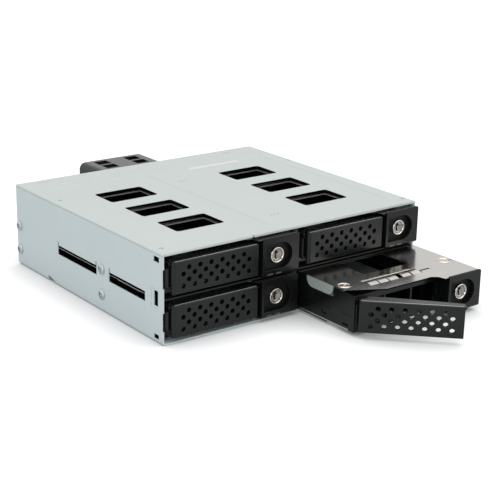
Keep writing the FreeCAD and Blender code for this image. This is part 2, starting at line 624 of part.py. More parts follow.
def tray_frame():
    """Moulded frame of a tray: hinge block, vented front wall, side rails and rear bar."""
    right_rail = mirrored_x(side_rail())
    left_rail = side_rail().cut(box((-TRAY_HALF - 1, 0), (0, SKIN_REAR - 0.5), (-1, TRAY_HEIGHT)))
    depth, top = REAR_BAR
    rear = box((-TRAY_HALF + 1, TRAY_HALF - 1), (TRAY_REAR - depth, TRAY_REAR), (RUNNER, top))
    # a low strip ties the right rail to the front wall under the lock housing
    tie = box((LOCK_LEFT - 0.5, TRAY_HALF), (LOCK_REAR, LOCK_REAR + 2), (RUNNER, RAIL_TOP))
    link = box((LOCK_LEFT - 2, LOCK_LEFT), (FRONT_WALL[0], LOCK_REAR + 2), (RUNNER, RAIL_TOP))
    return join(hinge_block(), [front_wall(), left_rail, right_rail, rear, tie, link])


def hinge_pin():
    low, high = LUGS_Z[0][0], LUGS_Z[1][1]
    return rod((PIVOT_X, PIVOT_Y, low), Z_AXIS, PIN_R, high - low)


# ---- handle ----
HOOK_HEIGHT = 1.5
HOOK_REACH = 0.7
HANDLE_CORNER_R = 0.7


def handle_holes():
    """Staggered rows of round holes."""
    lowest = MIDDLE_Z - HOLE_ROW_PITCH * (len(HOLE_ROWS) - 1) / 2
    tools = []
    for row, count in enumerate(HOLE_ROWS):
        first = HOLE_CENTRE - HOLE_PITCH * (count - 1) / 2
        for index in range(count):
            tools.append(rod((first + index * HOLE_PITCH, HANDLE_FACE - 1,
                              lowest + row * HOLE_ROW_PITCH), Y_AXIS, HOLE_R, HANDLE_SKIN + 2))
    return tools


def hinge_ear():
    """Sector beside the knuckle."""
    reach = EAR_R * 2
    corners = [(PIVOT_X, PIVOT_Y, KNUCKLE_Z[0])]
    for angle in EAR_ANGLES:
        turn = math.radians(angle)
        corners.append((PIVOT_X + reach * math.cos(turn), PIVOT_Y + reach * math.sin(turn),
                        KNUCKLE_Z[0]))
    height = KNUCKLE_Z[1] - KNUCKLE_Z[0]
    disc = rod((PIVOT_X, PIVOT_Y, KNUCKLE_Z[0]), Z_AXIS, EAR_R, height)
    return disc.common(prism(corners, Vector(0, 0, height)))


def handle():
    """Perforated lever with a folded rim, a knuckle on the hinge pin and a latch hook."""
    z = (MIDDLE_Z - HANDLE_HEIGHT / 2, MIDDLE_Z + HANDLE_HEIGHT / 2)
    skin_back = HANDLE_FACE + HANDLE_SKIN
    back = HANDLE_FACE + HANDLE_DEPTH
    skin = box((HANDLE_LEFT, HANDLE_RIGHT), (HANDLE_FACE, skin_back), z)
    rim = box((HANDLE_RIM_LEFT, HANDLE_RIGHT), (skin_back - 0.5, back), z)
    hollow = box((HANDLE_RIM_LEFT - 1, HANDLE_RIGHT - HANDLE_RIM), (skin_back - 1, back + 1),
                 (z[0] + HANDLE_RIM, z[1] - HANDLE_RIM))
    body = join(skin, [rim.cut(hollow)])
    body = rounded(body, Z_AXIS, HANDLE_NOSE_R,
                   lambda edge: edge.CenterOfMass.y < HANDLE_FACE + 0.1 and edge.CenterOfMass.x < 0)
    body = rounded(body, Y_AXIS, HANDLE_CORNER_R, lambda edge: edge.CenterOfMass.x > HANDLE_RIGHT - 0.1)
    body = body.cut(face_bend(z[0], 1)).cut(face_bend(z[1], -1))
    knuckle = rod((PIVOT_X, PIVOT_Y, KNUCKLE_Z[0]), Z_AXIS, KNUCKLE_R, KNUCKLE_Z[1] - KNUCKLE_Z[0])
    web = box((PIVOT_X - 1.8, PIVOT_X + 2.2), (skin_back - 0.1, PIVOT_Y), KNUCKLE_Z)
    body = join(body, [knuckle, web, hinge_ear(), latch_hook(z[1], back)])
    bore = rod((PIVOT_X, PIVOT_Y, KNUCKLE_Z[0] - 1), Z_AXIS, PIN_R + PIN_PLAY,
               KNUCKLE_Z[1] - KNUCKLE_Z[0] + 2)
    return body.cut(handle_holes() + [bore])


def face_bend(edge_z, inward):
    """What rounds the long edge of the face at one height."""
    radius = HANDLE_EDGE_R
    block_z = sorted((edge_z - inward, edge_z + inward * radius))
    block = box((HANDLE_LEFT - 1, HANDLE_RIGHT + 1), (HANDLE_FACE - 1, HANDLE_FACE + radius), block_z)
    curve = rod((HANDLE_LEFT - 2, HANDLE_FACE + radius, edge_z + inward * radius), X_AXIS, radius,
                HANDLE_RIGHT - HANDLE_LEFT + 4)
    return block.cut(curve)


def latch_hook(top, back):
    """Short tab at the upper free corner that catches behind the lock housing's edge."""
    low = top - HOOK_HEIGHT - HANDLE_CORNER_R
    right = HANDLE_RIGHT + HOOK_REACH
    corners = [(HANDLE_RIGHT - 0.5, back - 1.6, low), (right, back - 1.2, low),
               (right, back - 0.6, low), (HANDLE_RIGHT - 0.5, back - 0.1, low)]
    return prism(corners, Vector(0, 0, HOOK_HEIGHT))


# ---- lock ----
RECESS_LEFT = LOCK_LEFT + 1.3
RECESS_R = 6.1
RECESS_CENTRE = LOCK_LEFT + 10.5
RECESS_DEPTH = 2.8
KEY_POCKET = ((LOCK_LEFT + 1.5, LOCK_LEFT + 4.5), (LOCK_Z - 3.8, LOCK_Z + 3.8))
KEY_POCKET_DEPTH = 1.6
PIPE_WIDTH = 3.1
PIPE_HEIGHT = 0.7
PIPE_STARTS = (LOCK_LEFT + 2.8, LOCK_LEFT + 7.6)
PIPE_Z = 1.4
PIPE_PLAY = 0.02
LOCK_CHAMFER = 0.9
RING_BEVEL = 0.4


def lock_recess():
    """D shaped recess in the face: square on the left, round on the right."""
    floor = LOCK_FACE + RECESS_DEPTH
    square = box((RECESS_LEFT, RECESS_CENTRE), (LOCK_FACE - 1, floor),
                 (LOCK_Z - RECESS_R, LOCK_Z + RECESS_R))
    circle = rod((RECESS_CENTRE, LOCK_FACE - 1, LOCK_Z), Y_AXIS, RECESS_R, RECESS_DEPTH + 1)
    return join(square, [circle])


def pipe(start, play=0.0):
    front = LOCK_FACE + 0.1
    return box((start - play, start + PIPE_WIDTH + play), (front - play * 20, LOCK_REAR + play * 20),
               (PIPE_Z - play, PIPE_Z + PIPE_HEIGHT + play))


def lock_housing():
    """Moulded block at the right front corner with the recess, the lock's bore and the pipes."""
    body = box((LOCK_LEFT, LOCK_RIGHT), (LOCK_FACE, LOCK_REAR), (LOCK_BOTTOM, PLATE_BOTTOM))
    lip = box((LOCK_LEFT, LOCK_RIGHT), (LOCK_FACE, PLATE_LOCK_FRONT), (PLATE_BOTTOM - 0.5, LOCK_TOP))
    body = join(body, [lip])
    body = rounded(body, Y_AXIS, 1.0, lambda edge: edge.CenterOfMass.x > LOCK_RIGHT - 0.1
                   and edge.CenterOfMass.z > LOCK_TOP - 0.1)
    edge_tool = prism([(LOCK_LEFT - 1, LOCK_FACE - 0.1, LOCK_BOTTOM - 0.1),
                       (LOCK_LEFT - 1, LOCK_FACE + LOCK_CHAMFER, LOCK_BOTTOM - 0.1),
                       (LOCK_LEFT - 1, LOCK_FACE - 0.1, LOCK_BOTTOM + LOCK_CHAMFER)],
                      Vector(LOCK_WIDTH + 2, 0, 0))
    bore = rod((PLUG_X, LOCK_FACE, LOCK_Z), Y_AXIS, PLUG_R + PLUG_PLAY, 20)
    seat = rod((PLUG_X, LOCK_FACE, LOCK_Z), Y_AXIS, RING_R, RING_SEAT - LOCK_FACE)
    cam_space = CAM_REACH + CAM_PLAY
    cavity = box((PLUG_X - cam_space, PLUG_X + cam_space), (LOCK_BORE_END, LOCK_REAR + 1),
                 (LOCK_Z - cam_space, LOCK_Z + cam_space))
    pocket = box(KEY_POCKET[0], (LOCK_FACE - 1, LOCK_FACE + RECESS_DEPTH + KEY_POCKET_DEPTH),
                 KEY_POCKET[1])
    tools = [edge_tool, cavity, bore, seat, pocket, lock_recess()]
    tools += [pipe(start, PIPE_PLAY) for start in PIPE_STARTS]
    return body.cut(tools)


def light_pipes():
    return Part.makeCompound([pipe(start) for start in PIPE_STARTS])


def lock_ring():
    """Fixed collar of the lock with a bevelled front, set into its seat."""
    radius = RING_R - 0.01
    rim = rod((PLUG_X, RING_FRONT + RING_BEVEL, LOCK_Z), Y_AXIS, radius,
              RING_SEAT - RING_FRONT - RING_BEVEL)
    bevel = Part.makeCone(radius - RING_BEVEL, radius, RING_BEVEL, Vector(PLUG_X, RING_FRONT, LOCK_Z),
                          Y_AXIS)
    bore = rod((PLUG_X, RING_FRONT - 1, LOCK_Z), Y_AXIS, PLUG_R + PLUG_PLAY, RING_SEAT - RING_FRONT + 2)
    return join(rim, [bevel]).cut(bore)


def lock_plug():
    """Turning plug with a key slot in a dished face and a cam at its rear end."""
    front = RING_FRONT + 0.3
    end = LOCK_BORE_END + 0.2
    plug = rod((PLUG_X, front, LOCK_Z), Y_AXIS, PLUG_R, end - front)
    dish = Part.makeCone(PLUG_R - 0.35, PLUG_R - 1.2, 0.4, Vector(PLUG_X, front, LOCK_Z), Y_AXIS)
    slot = centred_box((PLUG_X, front + 1.0, LOCK_Z), (0.9, 4.0, 3.6))
    ward = centred_box((PLUG_X + 0.5, front + 1.0, LOCK_Z + 0.8), (0.9, 4.0, 0.8))
    cam = box((PLUG_X - 1.6, PLUG_X + 1.6), (end, end + CAM_THICK),
              (LOCK_Z - PLUG_R + 0.4, LOCK_Z + CAM_REACH - 0.3))
    return join(plug, [cam]).cut([dish, slot, ward])


def plate_screws():
    """Flat screws in the seats of the plate, for the drive."""
    screws = []
    for x in (-DRIVE_SCREW_X, DRIVE_SCREW_X):
        for y in DRIVE_SCREW_Y:
            bottom = TRAY_HEIGHT - SINK_DEPTH
            head = Part.makeCone(SINK_R - 0.55, SINK_R - 1.2, SINK_DEPTH + 0.1, Vector(x, y, bottom),
                                 Z_AXIS)
            shank = rod((x, y, PLATE_BOTTOM), Z_AXIS, MOUNT_HOLE_R - SCREW_PLAY,
                        bottom - PLATE_BOTTOM + 0.1)
            screws.append(join(head, [shank]))
    return Part.makeCompound(screws)


def headed_screw(seat, axis, length, radius=MOUNT_HOLE_R - SCREW_PLAY):
    """Low headed screw: seat is where the head meets the sheet, axis points out of the head."""
    start = Vector(*seat)
    head = Part.makeCone(SCREW_HEAD_R, SCREW_HEAD_R - SCREW_HEAD_DRAFT, SCREW_HEAD_HEIGHT, start, axis)
    shank = Part.makeCylinder(radius, length + 0.1, start + axis * 0.1, axis * -1)
    return join(head, [shank])


# ---- rear group ----
STANDOFF_X = WALL_INSIDE - 6.2
STANDOFF_HEIGHTS = (SHELL_SHEET + 4.4, COVER_BOTTOM - 4.3)
STANDOFFS = [(side * STANDOFF_X, z) for side in (-1, 1) for z in STANDOFF_HEIGHTS]
STANDOFF_R = 2.5
SMALL_SCREW_R = 1.25
SMALL_SCREW_GRIP = 4.0    # how far the small screws reach past the sheet
PORT_HEIGHTS = (MIDDLE_HEIGHT - 7.5, MIDDLE_HEIGHT + 7.5)
PORT_ROOM_END = WALL_INSIDE - REAR_TAB_WIDTH
DATA_MIDDLE = (FAN_X - FAN_SIZE / 2 - PORT_ROOM_END) / 2
DATA_PITCH = 18.0
DATA_PORTS = [(DATA_MIDDLE + side * DATA_PITCH / 2, z) for side in (-1, 1) for z in PORT_HEIGHTS]
DATA_SIZE = (16.6, 8.0)
POWER_MIDDLE = (FAN_X + FAN_SIZE / 2 + PORT_ROOM_END) / 2
POWER_PORTS = [(POWER_MIDDLE, z) for z in PORT_HEIGHTS]
POWER_SIZE = (24.0, 8.0)
PORT_PLAY = 0.3
PORT_WALL = 1.2
PORT_PROUD = 0.4          # past the rear panel
PORT_DEPTH = 7.0          # mouth's depth from the rear panel's face
TONGUE_ROOT = 2.0         # tongue's start behind the board
TONGUE_INSET = 0.6        # tongue's end inside the rear panel's face
DATA_TONGUE = 1.2
POWER_TONGUE = 1.4
DRIVE_CONNECTOR = (42.6, 5.8)
DRIVE_CONNECTOR_X = 4.5
DRIVE_CONNECTOR_Z = RAIL_TOP + 3.2
FAN_HEADER = (FAN_X + FAN_SIZE / 2 + 7.0, MIDDLE_HEIGHT)
BOARD_VENTS = [(FAN_X + x, MIDDLE_HEIGHT + z) for x in (-9.0, 9.0) for z in (-8.5, 8.5)]
BOARD_VENT = (14.0, 10.0)


def fan_hole_places():
    half = FAN_HOLE_PITCH / 2
    return [(FAN_X + x * half, FAN_Z + z * half) for x in (-1, 1) for z in (-1, 1)]


def rear_panel():
    """Rear panel with the fan opening and the connector openings."""
    y = (PANEL_FRONT, PANEL_REAR)
    panel = box((-WALL_INSIDE + PANEL_MARGIN, WALL_INSIDE - PANEL_MARGIN), y,
                (SHELL_SHEET + PANEL_MARGIN, COVER_BOTTOM - PANEL_MARGIN))
    panel = rounded(panel, Y_AXIS, 1.0)
    tools = [rod((FAN_X, y[0] - 1, FAN_Z), Y_AXIS, FAN_BORE_R, 4)]
    for places, size in ((DATA_PORTS, DATA_SIZE), (POWER_PORTS, POWER_SIZE)):
        for x, z in places:
            tools.append(centred_box((x, y[0], z), (size[0] + PORT_PLAY, 6, size[1] + PORT_PLAY)))
    for x, z in panel_screw_places() + fan_hole_places() + list(STANDOFFS):
        tools.append(rod((x, y[0] - 1, z), Y_AXIS, MOUNT_HOLE_R, 4))
    return panel.cut(tools)


def fan_shroud():
    """Spacer ring between the rear panel and the fan."""
    half = FAN_SIZE / 2
    high = half - 0.4
    ring = box((FAN_X - half, FAN_X + half), (PANEL_REAR, FAN_FRONT), (FAN_Z - high, FAN_Z + high))
    ring = rounded(ring, Y_AXIS, FAN_CORNER)
    tools = [rod((FAN_X, PANEL_REAR - 1, FAN_Z), Y_AXIS, FAN_BORE_R, SHROUD_DEPTH + 2)]
    tools += [rod((x, PANEL_REAR - 1, z), Y_AXIS, MOUNT_HOLE_R, SHROUD_DEPTH + 2)
              for x, z in fan_hole_places()]
    return ring.cut(tools)


def backplane_board():
    board = box((-WALL_INSIDE + 0.6, WALL_INSIDE - 0.6), (BOARD_FRONT, BOARD_REAR),
                (SHELL_SHEET + 0.6, COVER_BOTTOM - SHELL_SHEET - 0.4))
    tools = [rod((x, BOARD_FRONT - 1, z), Y_AXIS, MOUNT_HOLE_R, 4) for x, z in STANDOFFS]
    for x, z in BOARD_VENTS:
        tools.append(centred_box((x, BOARD_FRONT, z), (BOARD_VENT[0], 6, BOARD_VENT[1])))
    return board.cut(tools)


def drive_connectors():
    """Sockets on the front of the board, one for each tray."""
    width, height = DRIVE_CONNECTOR
    depth = DRIVE_CONNECTOR_DEPTH
    sockets = []
    for column_x, base_z, _ in TRAYS.values():
        x, z = column_x + DRIVE_CONNECTOR_X, base_z + DRIVE_CONNECTOR_Z
        body = box((x - width / 2, x + width / 2), (BOARD_FRONT - depth, BOARD_FRONT),
                   (z - height / 2, z + height / 2))
        mouths = [box(span, (BOARD_FRONT - depth - 1, BOARD_FRONT - 1.5), (z - 1.4, z + 1.4))
                  for span in ((x - width / 2 + 1.5, x + 5.0), (x + 7.0, x + width / 2 - 1.5))]
        sockets.append(body.cut(mouths))
    return Part.makeCompound(sockets)


def rear_ports(places, size, tongue_height):
    """Shrouded sockets that reach from the board through the rear panel."""
    ports = []
    for x, z in places:
        body = box((x - size[0] / 2, x + size[0] / 2), (BOARD_REAR, PANEL_REAR + PORT_PROUD),
                   (z - size[1] / 2, z + size[1] / 2))
        inner = [length - 2 * PORT_WALL for length in size]
        mouth = centred_box((x, PANEL_REAR, z), (inner[0], 2 * PORT_DEPTH, inner[1]))
        half = inner[0] / 2 - PORT_WALL
        tongue = box((x - half, x + half), (BOARD_REAR + TONGUE_ROOT, PANEL_REAR - TONGUE_INSET),
                     (z - tongue_height / 2, z + tongue_height / 2))
        ports.append(join(body.cut(mouth), [tongue]))
    return Part.makeCompound(ports)


def fan_header():
    x, z = FAN_HEADER
    body = centred_box((x, BOARD_REAR + 3, z), (7.8, 6, 5.6))
    return body.cut(centred_box((x, BOARD_REAR + 5, z), (6.2, 6, 4.0)))


def board_standoffs():
    posts = []
    for x, z in STANDOFFS:
        post = rod((x, BOARD_REAR, z), Y_AXIS, STANDOFF_R, PANEL_FRONT - BOARD_REAR)
        posts.append(post.cut(rod((x, BOARD_REAR - 1, z), Y_AXIS, SMALL_SCREW_R + SCREW_PLAY,
                                  PANEL_FRONT - BOARD_REAR + 2)))
    return Part.makeCompound(posts)


def board_screws():
    length = BOARD_THICK + SMALL_SCREW_GRIP
    return Part.makeCompound([headed_screw((x, BOARD_FRONT, z), Y_AXIS * -1, length, SMALL_SCREW_R)
                              for x, z in STANDOFFS])


def rear_panel_screws():
    length = PANEL_THICK + SMALL_SCREW_GRIP
    screws = [headed_screw((x, PANEL_REAR, z), Y_AXIS, length, SMALL_SCREW_R)
              for x, z in panel_screw_places() + list(STANDOFFS)]
    return Part.makeCompound(screws)


def side_screws():
    screws = []
    for side in (-1, 1):
        for y in mount_rows():
            for z in (MOUNT_LOW, MOUNT_HIGH):
                screws.append(headed_screw((side * HALF_WIDTH, y, z), X_AXIS * side, SHELL_SHEET))
    return Part.makeCompound(screws)


# ---- fan ----
FAN_HUB_PLATE = 2.4
FAN_STRUTS = 4
FAN_SHAFT_R = 1.5
FAN_SHAFT_PLAY = 0.05
FAN_TIP_R = FAN_BORE_R - FAN_TIP_PLAY
FAN_ROTOR_FRONT = 2.5
FAN_CELL_R = FAN_BORE_R + 1.1
FAN_SCREW_HOLE_R = 2.15
FAN_CELL_WALL = 0.9       # wall between cell and screw hole
FAN_PAD_HALF = 5.5        # plain middle of each side
FAN_MIDDLE_RIB = 1.6


def side_cells(rows):
    """Shallow cells in the four sides of the frame, down to the barrel, clear of the screw holes."""
    barrel = rod((0, rows[0][0] - 1, 0), Y_AXIS, FAN_CELL_R, FAN_DEPTH)
    end = FAN_HOLE_PITCH / 2 - FAN_SCREW_HOLE_R - FAN_CELL_WALL
    cells = []
    for row in rows:
        for span in ((-end, -FAN_PAD_HALF), (FAN_PAD_HALF, end)):
            cell = box(span, row, (FAN_SIZE / 4, FAN_SIZE / 2 + 1)).cut(barrel)
            for index in range(4):
                turned = cell.copy()
                turned.rotate(Vector(0, 0, 0), Y_AXIS, index * 90)
                cells.append(turned.translated(Vector(FAN_X, 0, FAN_Z)))
    return cells


def fan_frame():
    """Square frame with cells in its sides, four struts and the bearing plate."""
    half = FAN_SIZE / 2
    y = (FAN_FRONT, FAN_REAR)
    body = box((FAN_X - half, FAN_X + half), y, (FAN_Z - half, FAN_Z + half))
    body = rounded(body, Y_AXIS, FAN_CORNER)
    middle = (y[0] + y[1]) / 2
    rows = ((y[0] + FAN_FLANGE, middle - FAN_MIDDLE_RIB / 2),
            (middle + FAN_MIDDLE_RIB / 2, y[1] - FAN_FLANGE))
    bore = rod((FAN_X, y[0] - 1, FAN_Z), Y_AXIS, FAN_BORE_R, FAN_DEPTH + 2)
    holes = [rod((x, y[0] - 1, z), Y_AXIS, FAN_SCREW_HOLE_R, FAN_DEPTH + 2)
             for x, z in fan_hole_places()]
    body = body.cut(side_cells(rows) + [bore] + holes)
    plate = rod((FAN_X, y[1] - FAN_HUB_PLATE, FAN_Z), Y_AXIS, FAN_HUB_R + 0.6, FAN_HUB_PLATE)
    struts = []
    for index in range(FAN_STRUTS):
        strut = box((FAN_HUB_R - 1, FAN_BORE_R + 0.6), (y[1] - FAN_HUB_PLATE, y[1]), (-0.9, 0.9))
        strut.rotate(Vector(0, 0, 0), Y_AXIS, 45 + index * 360 / FAN_STRUTS)
        struts.append(strut.translated(Vector(FAN_X, 0, FAN_Z)))
    body = join(body, [plate] + struts)
    return body.cut(rod((FAN_X, y[1] - FAN_HUB_PLATE - 1, FAN_Z), Y_AXIS,
                        FAN_SHAFT_R + FAN_SHAFT_PLAY, FAN_HUB_PLATE + 0.4))


def fan_blade(y_centre):
    """One twisted blade: its chord turns as it goes out from the hub."""
    sections = []
    for radius, angle, chord in ((FAN_HUB_R - 0.6, 40.0, 9.0), (FAN_TIP_R + 0.8, 56.0, 10.5)):
        corners = []
        for along, thick in ((-0.5, -0.5), (0.5, -0.5), (0.5, 0.5), (-0.5, 0.5)):
            a = math.radians(angle)
            u, w = along * chord, thick * 1.1
            corners.append(Vector(radius, y_centre + u * math.cos(a) - w * math.sin(a),
                                  u * math.sin(a) + w * math.cos(a)))
        sections.append(Part.makePolygon(corners + corners[:1]))
    return Part.makeLoft(sections, True, True)


def fan_rotor():
    front = FAN_FRONT + FAN_ROTOR_FRONT
    rear = FAN_REAR - FAN_HUB_PLATE - 0.4
    hub = Part.makeCylinder(FAN_HUB_R, rear - front, Vector(0, front, 0), Y_AXIS)
    nose = [edge for edge in hub.Edges if isinstance(edge.Curve, Part.Circle)
            and edge.CenterOfMass.y < front + 0.1]
    hub = hub.makeChamfer(0.8, nose)
    limit = Part.makeCylinder(FAN_TIP_R, rear - front, Vector(0, front, 0), Y_AXIS)
    blades = []
    for index in range(FAN_BLADES):
        blade = fan_blade((front + rear) / 2)
        blade.rotate(Vector(0, 0, 0), Y_AXIS, index * 360 / FAN_BLADES)
        blades.append(blade.common(limit))
    shaft = Part.makeCylinder(FAN_SHAFT_R, FAN_HUB_PLATE, Vector(0, rear - 0.5, 0), Y_AXIS)
    return join(hub, blades + [shaft]).translated(Vector(FAN_X, 0, FAN_Z))


def fan_screws():
    length = FAN_REAR - PANEL_FRONT + 0.8
    return Part.makeCompound([headed_screw((x, FAN_REAR, z), Y_AXIS, length)
                              for x, z in fan_hole_places()])


# ---- assembly ----
def cage_parts():
    return {
        "chassis_shell": chassis_shell(),
        "top_cover": top_cover(),
        "centre_divider": centre_divider(),
        "shelf_left": shelf(-1),
        "shelf_right": shelf(1),
        "rear_panel": rear_panel(),
        "fan_shroud": fan_shroud(),
        "backplane_board": backplane_board(),
        "drive_connectors": drive_connectors(),
        "data_connectors": rear_ports(DATA_PORTS, DATA_SIZE, DATA_TONGUE),
        "power_connectors": rear_ports(POWER_PORTS, POWER_SIZE, POWER_TONGUE),
        "fan_header": fan_header(),
        "board_standoffs": board_standoffs(),
        "board_screws": board_screws(),
        "rear_panel_screws": rear_panel_screws(),
        "side_screws": side_screws(),
        "fan_frame": fan_frame(),
        "fan_rotor": fan_rotor(),
        "fan_screws": fan_screws(),
    }


def tray_parts():
    return {
        "tray_plate": tray_plate(),
        "tray_frame": tray_frame(),
        "spring_fingers": spring_fingers(),
        "plate_screws": plate_screws(),
        "lock_housing": lock_housing(),
        "lock_ring": lock_ring(),
        "lock_plug": lock_plug(),
        "light_pipes": light_pipes(),
        "hinge_pin": hinge_pin(),
        "handle": handle(),
    }


def main():
    os.makedirs("parts", exist_ok=True)
    nodes = cage_parts()
    for part_name, shape in tray_parts().items():
        for tray_name, (column_x, base_z, pulled_out) in TRAYS.items():
            piece = shape.copy()
            if part_name == "handle" and pulled_out:
                piece.rotate(Vector(PIVOT_X, PIVOT_Y, 0), Z_AXIS, -HANDLE_OPEN)
            piece.translate(Vector(column_x, -pulled_out, base_z))
            nodes[part_name + "_" + tray_name] = piece
    for name, shape in nodes.items():
        shape.translate(ORIGIN * -1)
        shape.exportStep("parts/" + name + ".step")
        print(name, len(shape.Solids), shape.isValid(), round(shape.Volume, 1))


main()
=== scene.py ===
"""Looks of the hot swap drive cage: materials, small details, floor, lights and camera."""
import math

import bmesh
import bpy
from mathutils import Matrix, Vector


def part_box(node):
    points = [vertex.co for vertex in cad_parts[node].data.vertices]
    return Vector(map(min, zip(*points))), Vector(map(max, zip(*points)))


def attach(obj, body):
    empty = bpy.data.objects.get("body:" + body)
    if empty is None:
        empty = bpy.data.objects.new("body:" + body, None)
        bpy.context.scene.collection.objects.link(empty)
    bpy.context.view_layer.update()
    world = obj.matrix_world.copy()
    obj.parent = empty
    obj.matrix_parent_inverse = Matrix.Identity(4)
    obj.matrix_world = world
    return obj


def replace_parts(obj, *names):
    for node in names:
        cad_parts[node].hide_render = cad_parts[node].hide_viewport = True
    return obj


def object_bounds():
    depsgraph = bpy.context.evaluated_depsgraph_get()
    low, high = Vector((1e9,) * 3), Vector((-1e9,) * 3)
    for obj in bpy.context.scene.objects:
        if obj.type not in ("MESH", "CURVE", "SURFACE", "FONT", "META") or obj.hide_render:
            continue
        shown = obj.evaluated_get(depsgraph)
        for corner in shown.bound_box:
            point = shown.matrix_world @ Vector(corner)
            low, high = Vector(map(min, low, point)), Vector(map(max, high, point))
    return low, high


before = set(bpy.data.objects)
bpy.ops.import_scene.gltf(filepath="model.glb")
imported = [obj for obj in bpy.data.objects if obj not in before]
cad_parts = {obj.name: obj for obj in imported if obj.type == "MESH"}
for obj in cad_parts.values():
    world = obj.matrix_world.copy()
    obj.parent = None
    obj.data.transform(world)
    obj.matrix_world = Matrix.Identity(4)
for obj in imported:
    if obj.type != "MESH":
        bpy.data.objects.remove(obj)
cad_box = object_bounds()

MM = 0.001
TRAYS = ("upper_left", "lower_left", "upper_right", "lower_right")
UPPER_TRAYS = ("upper_left", "upper_right")

# ---- places read from the frame ----
SHELL_LOW, SHELL_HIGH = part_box("chassis_shell")
COVER_LOW, COVER_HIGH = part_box("top_cover")
FRONT_Y = SHELL_LOW[1]
HALF_WIDTH = SHELL_HIGH[0]
TOP_Z = COVER_HIGH[2]
SKIN = 0.03    # how far a thin covering stands off what it covers, in millimetres

# ---- camera ----
CAMERA_PLACE = Vector((-0.3497, -0.5087, 0.2111))
CAMERA_AZIMUTH = 36.21
CAMERA_ELEVATION = 18.46
CAMERA_ROLL = 0.73
CAMERA_LENS = 91.6
CAMERA_SHIFT = (0.057, 0.002)
SENSOR_WIDTH = 36.0
NEAR_CLIP = 0.01

# ---- light ----
WORLD_TINT = (0.97, 0.99, 1.0, 1)
WORLD_LEVEL = 0.62        # as surfaces are lit by it
WORLD_MIRRORED = 0.9      # as glossy surfaces mirror it
DARK_SIDE = Vector((-0.5360, -0.7797, 0.3236))    # direction of the world's darker side
DARK_SHARE = 0.3          # share of the mirrored level on that side
DARK_FADE = (0.55, 0.95)  # cosine of the angle to it, where the fade begins and ends
FLOOR_HALF = 6.0
FLOOR_BELOW = 0.0001      # under the lowest point of the part
FLOOR_GREYS = ((0.31, 0.315, 0.32), (0.32, 0.325, 0.33))
FLOOR_GLOW = 0.93
FLOOR_MIRRORED = 0.36     # share of the glow that the object's surfaces receive
FLOOR_SHADE_REACH = 0.028
FLOOR_SHADE_POWER = 1.1
FLOOR_SHADE_SAMPLES = 12
LAMPS = (    # name, place, target, size, power
    ("overhead", (0.1, -0.2, 1.1), (0, 0, 0), (1.2, 1.2), 5.0),
    ("front_left", (-0.9, -0.7, 0.5), (0, 0, 0.02), (0.8, 0.6), 3.0),
    ("front_right", (0.8, -0.9, 0.4), (0, 0, 0.02), (0.6, 0.5), 1.0))


# ---- shader helpers ----
BEVEL_SAMPLES = 6
CLOUD_SCALE = 26.0        # scales of noise are per metre, and depths of bumps in metres
GRAIN_DEPTH = 0.0002
LINE_SCALE = 60.0
LINE_STRETCH = (1, 40, 40)
LINE_DEPTH = 0.0001
LINE_BUMP = 0.02
SHEEN_SCALE = 40.0
SHEEN_LOW = 0.93
SMUDGE_SCALE = 500.0
SMUDGE_LOW = 0.95
TRACK_SCALE = 260.0
TRACK_GREEN = (0.02, 0.14, 0.06)
MASK_GREEN = (0.012, 0.07, 0.035)
TRACK_EDGES = (0.02, 0.06)


class Shader:
    """A material's node tree with short ways to add and link nodes."""

    def __init__(self, name):
        self.material = bpy.data.materials.new(name)
        self.material.use_nodes = True
        self.tree = self.material.node_tree
        self.principled = self.tree.nodes["Principled BSDF"]
        self._coords = None

    def node(self, kind, **values):
        node = self.tree.nodes.new(kind)
        for key, value in values.items():
            if key in node.inputs:
                node.inputs[key].default_value = value
            else:
                setattr(node, key, value)
        return node

    def link(self, source, target):
        self.tree.links.new(source, target)

    def set(self, **values):
        for key, value in values.items():
            self.principled.inputs[key.replace("_", " ")].default_value = value

    def coords(self, scale=(1, 1, 1)):
        """Object coordinates, scaled."""
        if self._coords is None:
            self._coords = self.node("ShaderNodeTexCoord").outputs["Object"]
        mapping = self.node("ShaderNodeMapping")
        mapping.inputs["Scale"].default_value = scale
        self.link(self._coords, mapping.inputs["Vector"])
        return mapping.outputs["Vector"]

    def noise(self, scale, detail=3.0, stretch=(1, 1, 1), roughness=0.55):
        noise = self.node("ShaderNodeTexNoise", Scale=scale, Detail=detail, Roughness=roughness)
        self.link(self.coords(stretch), noise.inputs["Vector"])
        return noise.outputs["Fac"]

    def tint(self, first, second):
        """Sets the base colour to the product of two colours."""
        mix = self.node("ShaderNodeMix", data_type="RGBA", blend_type="MULTIPLY")
        mix.inputs["Factor"].default_value = 1.0
        self.link(first, mix.inputs["A"])
        self.link(second, mix.inputs["B"])
        self.link(mix.outputs["Result"], self.principled.inputs["Base Color"])

    def rough(self, source, low, high):
        self.link(self.ramp(source, low, high), self.principled.inputs["Roughness"])

    def ramp(self, source, low, high, low_at=0.3, high_at=0.7):
        """Maps a value to a colour or, for plain numbers, to a grey."""
        ramp = self.node("ShaderNodeValToRGB")
        elements = ramp.color_ramp.elements
        elements[0].position = low_at
        elements[1].position = high_at
        elements[0].color = grey(low)
        elements[1].color = grey(high)
        self.link(source, ramp.inputs["Fac"])
        return ramp.outputs["Color"]

    def bump(self, source, strength, distance, edge=0.0):
        """Bumps the surface; edge rounds sharp edges by that radius as the light sees them."""
        bump = self.node("ShaderNodeBump", Strength=strength, Distance=distance)
        self.link(source, bump.inputs["Height"])
        if edge:
            bevel = self.node("ShaderNodeBevel", samples=BEVEL_SAMPLES, Radius=edge)
            self.link(bevel.outputs["Normal"], bump.inputs["Normal"])
        self.link(bump.outputs["Normal"], self.principled.inputs["Normal"])


def grey(value):
    return (value, value, value, 1) if isinstance(value, float) else (*value, 1)


def scaled(colour, factor):
    return tuple(channel * factor for channel in colour)


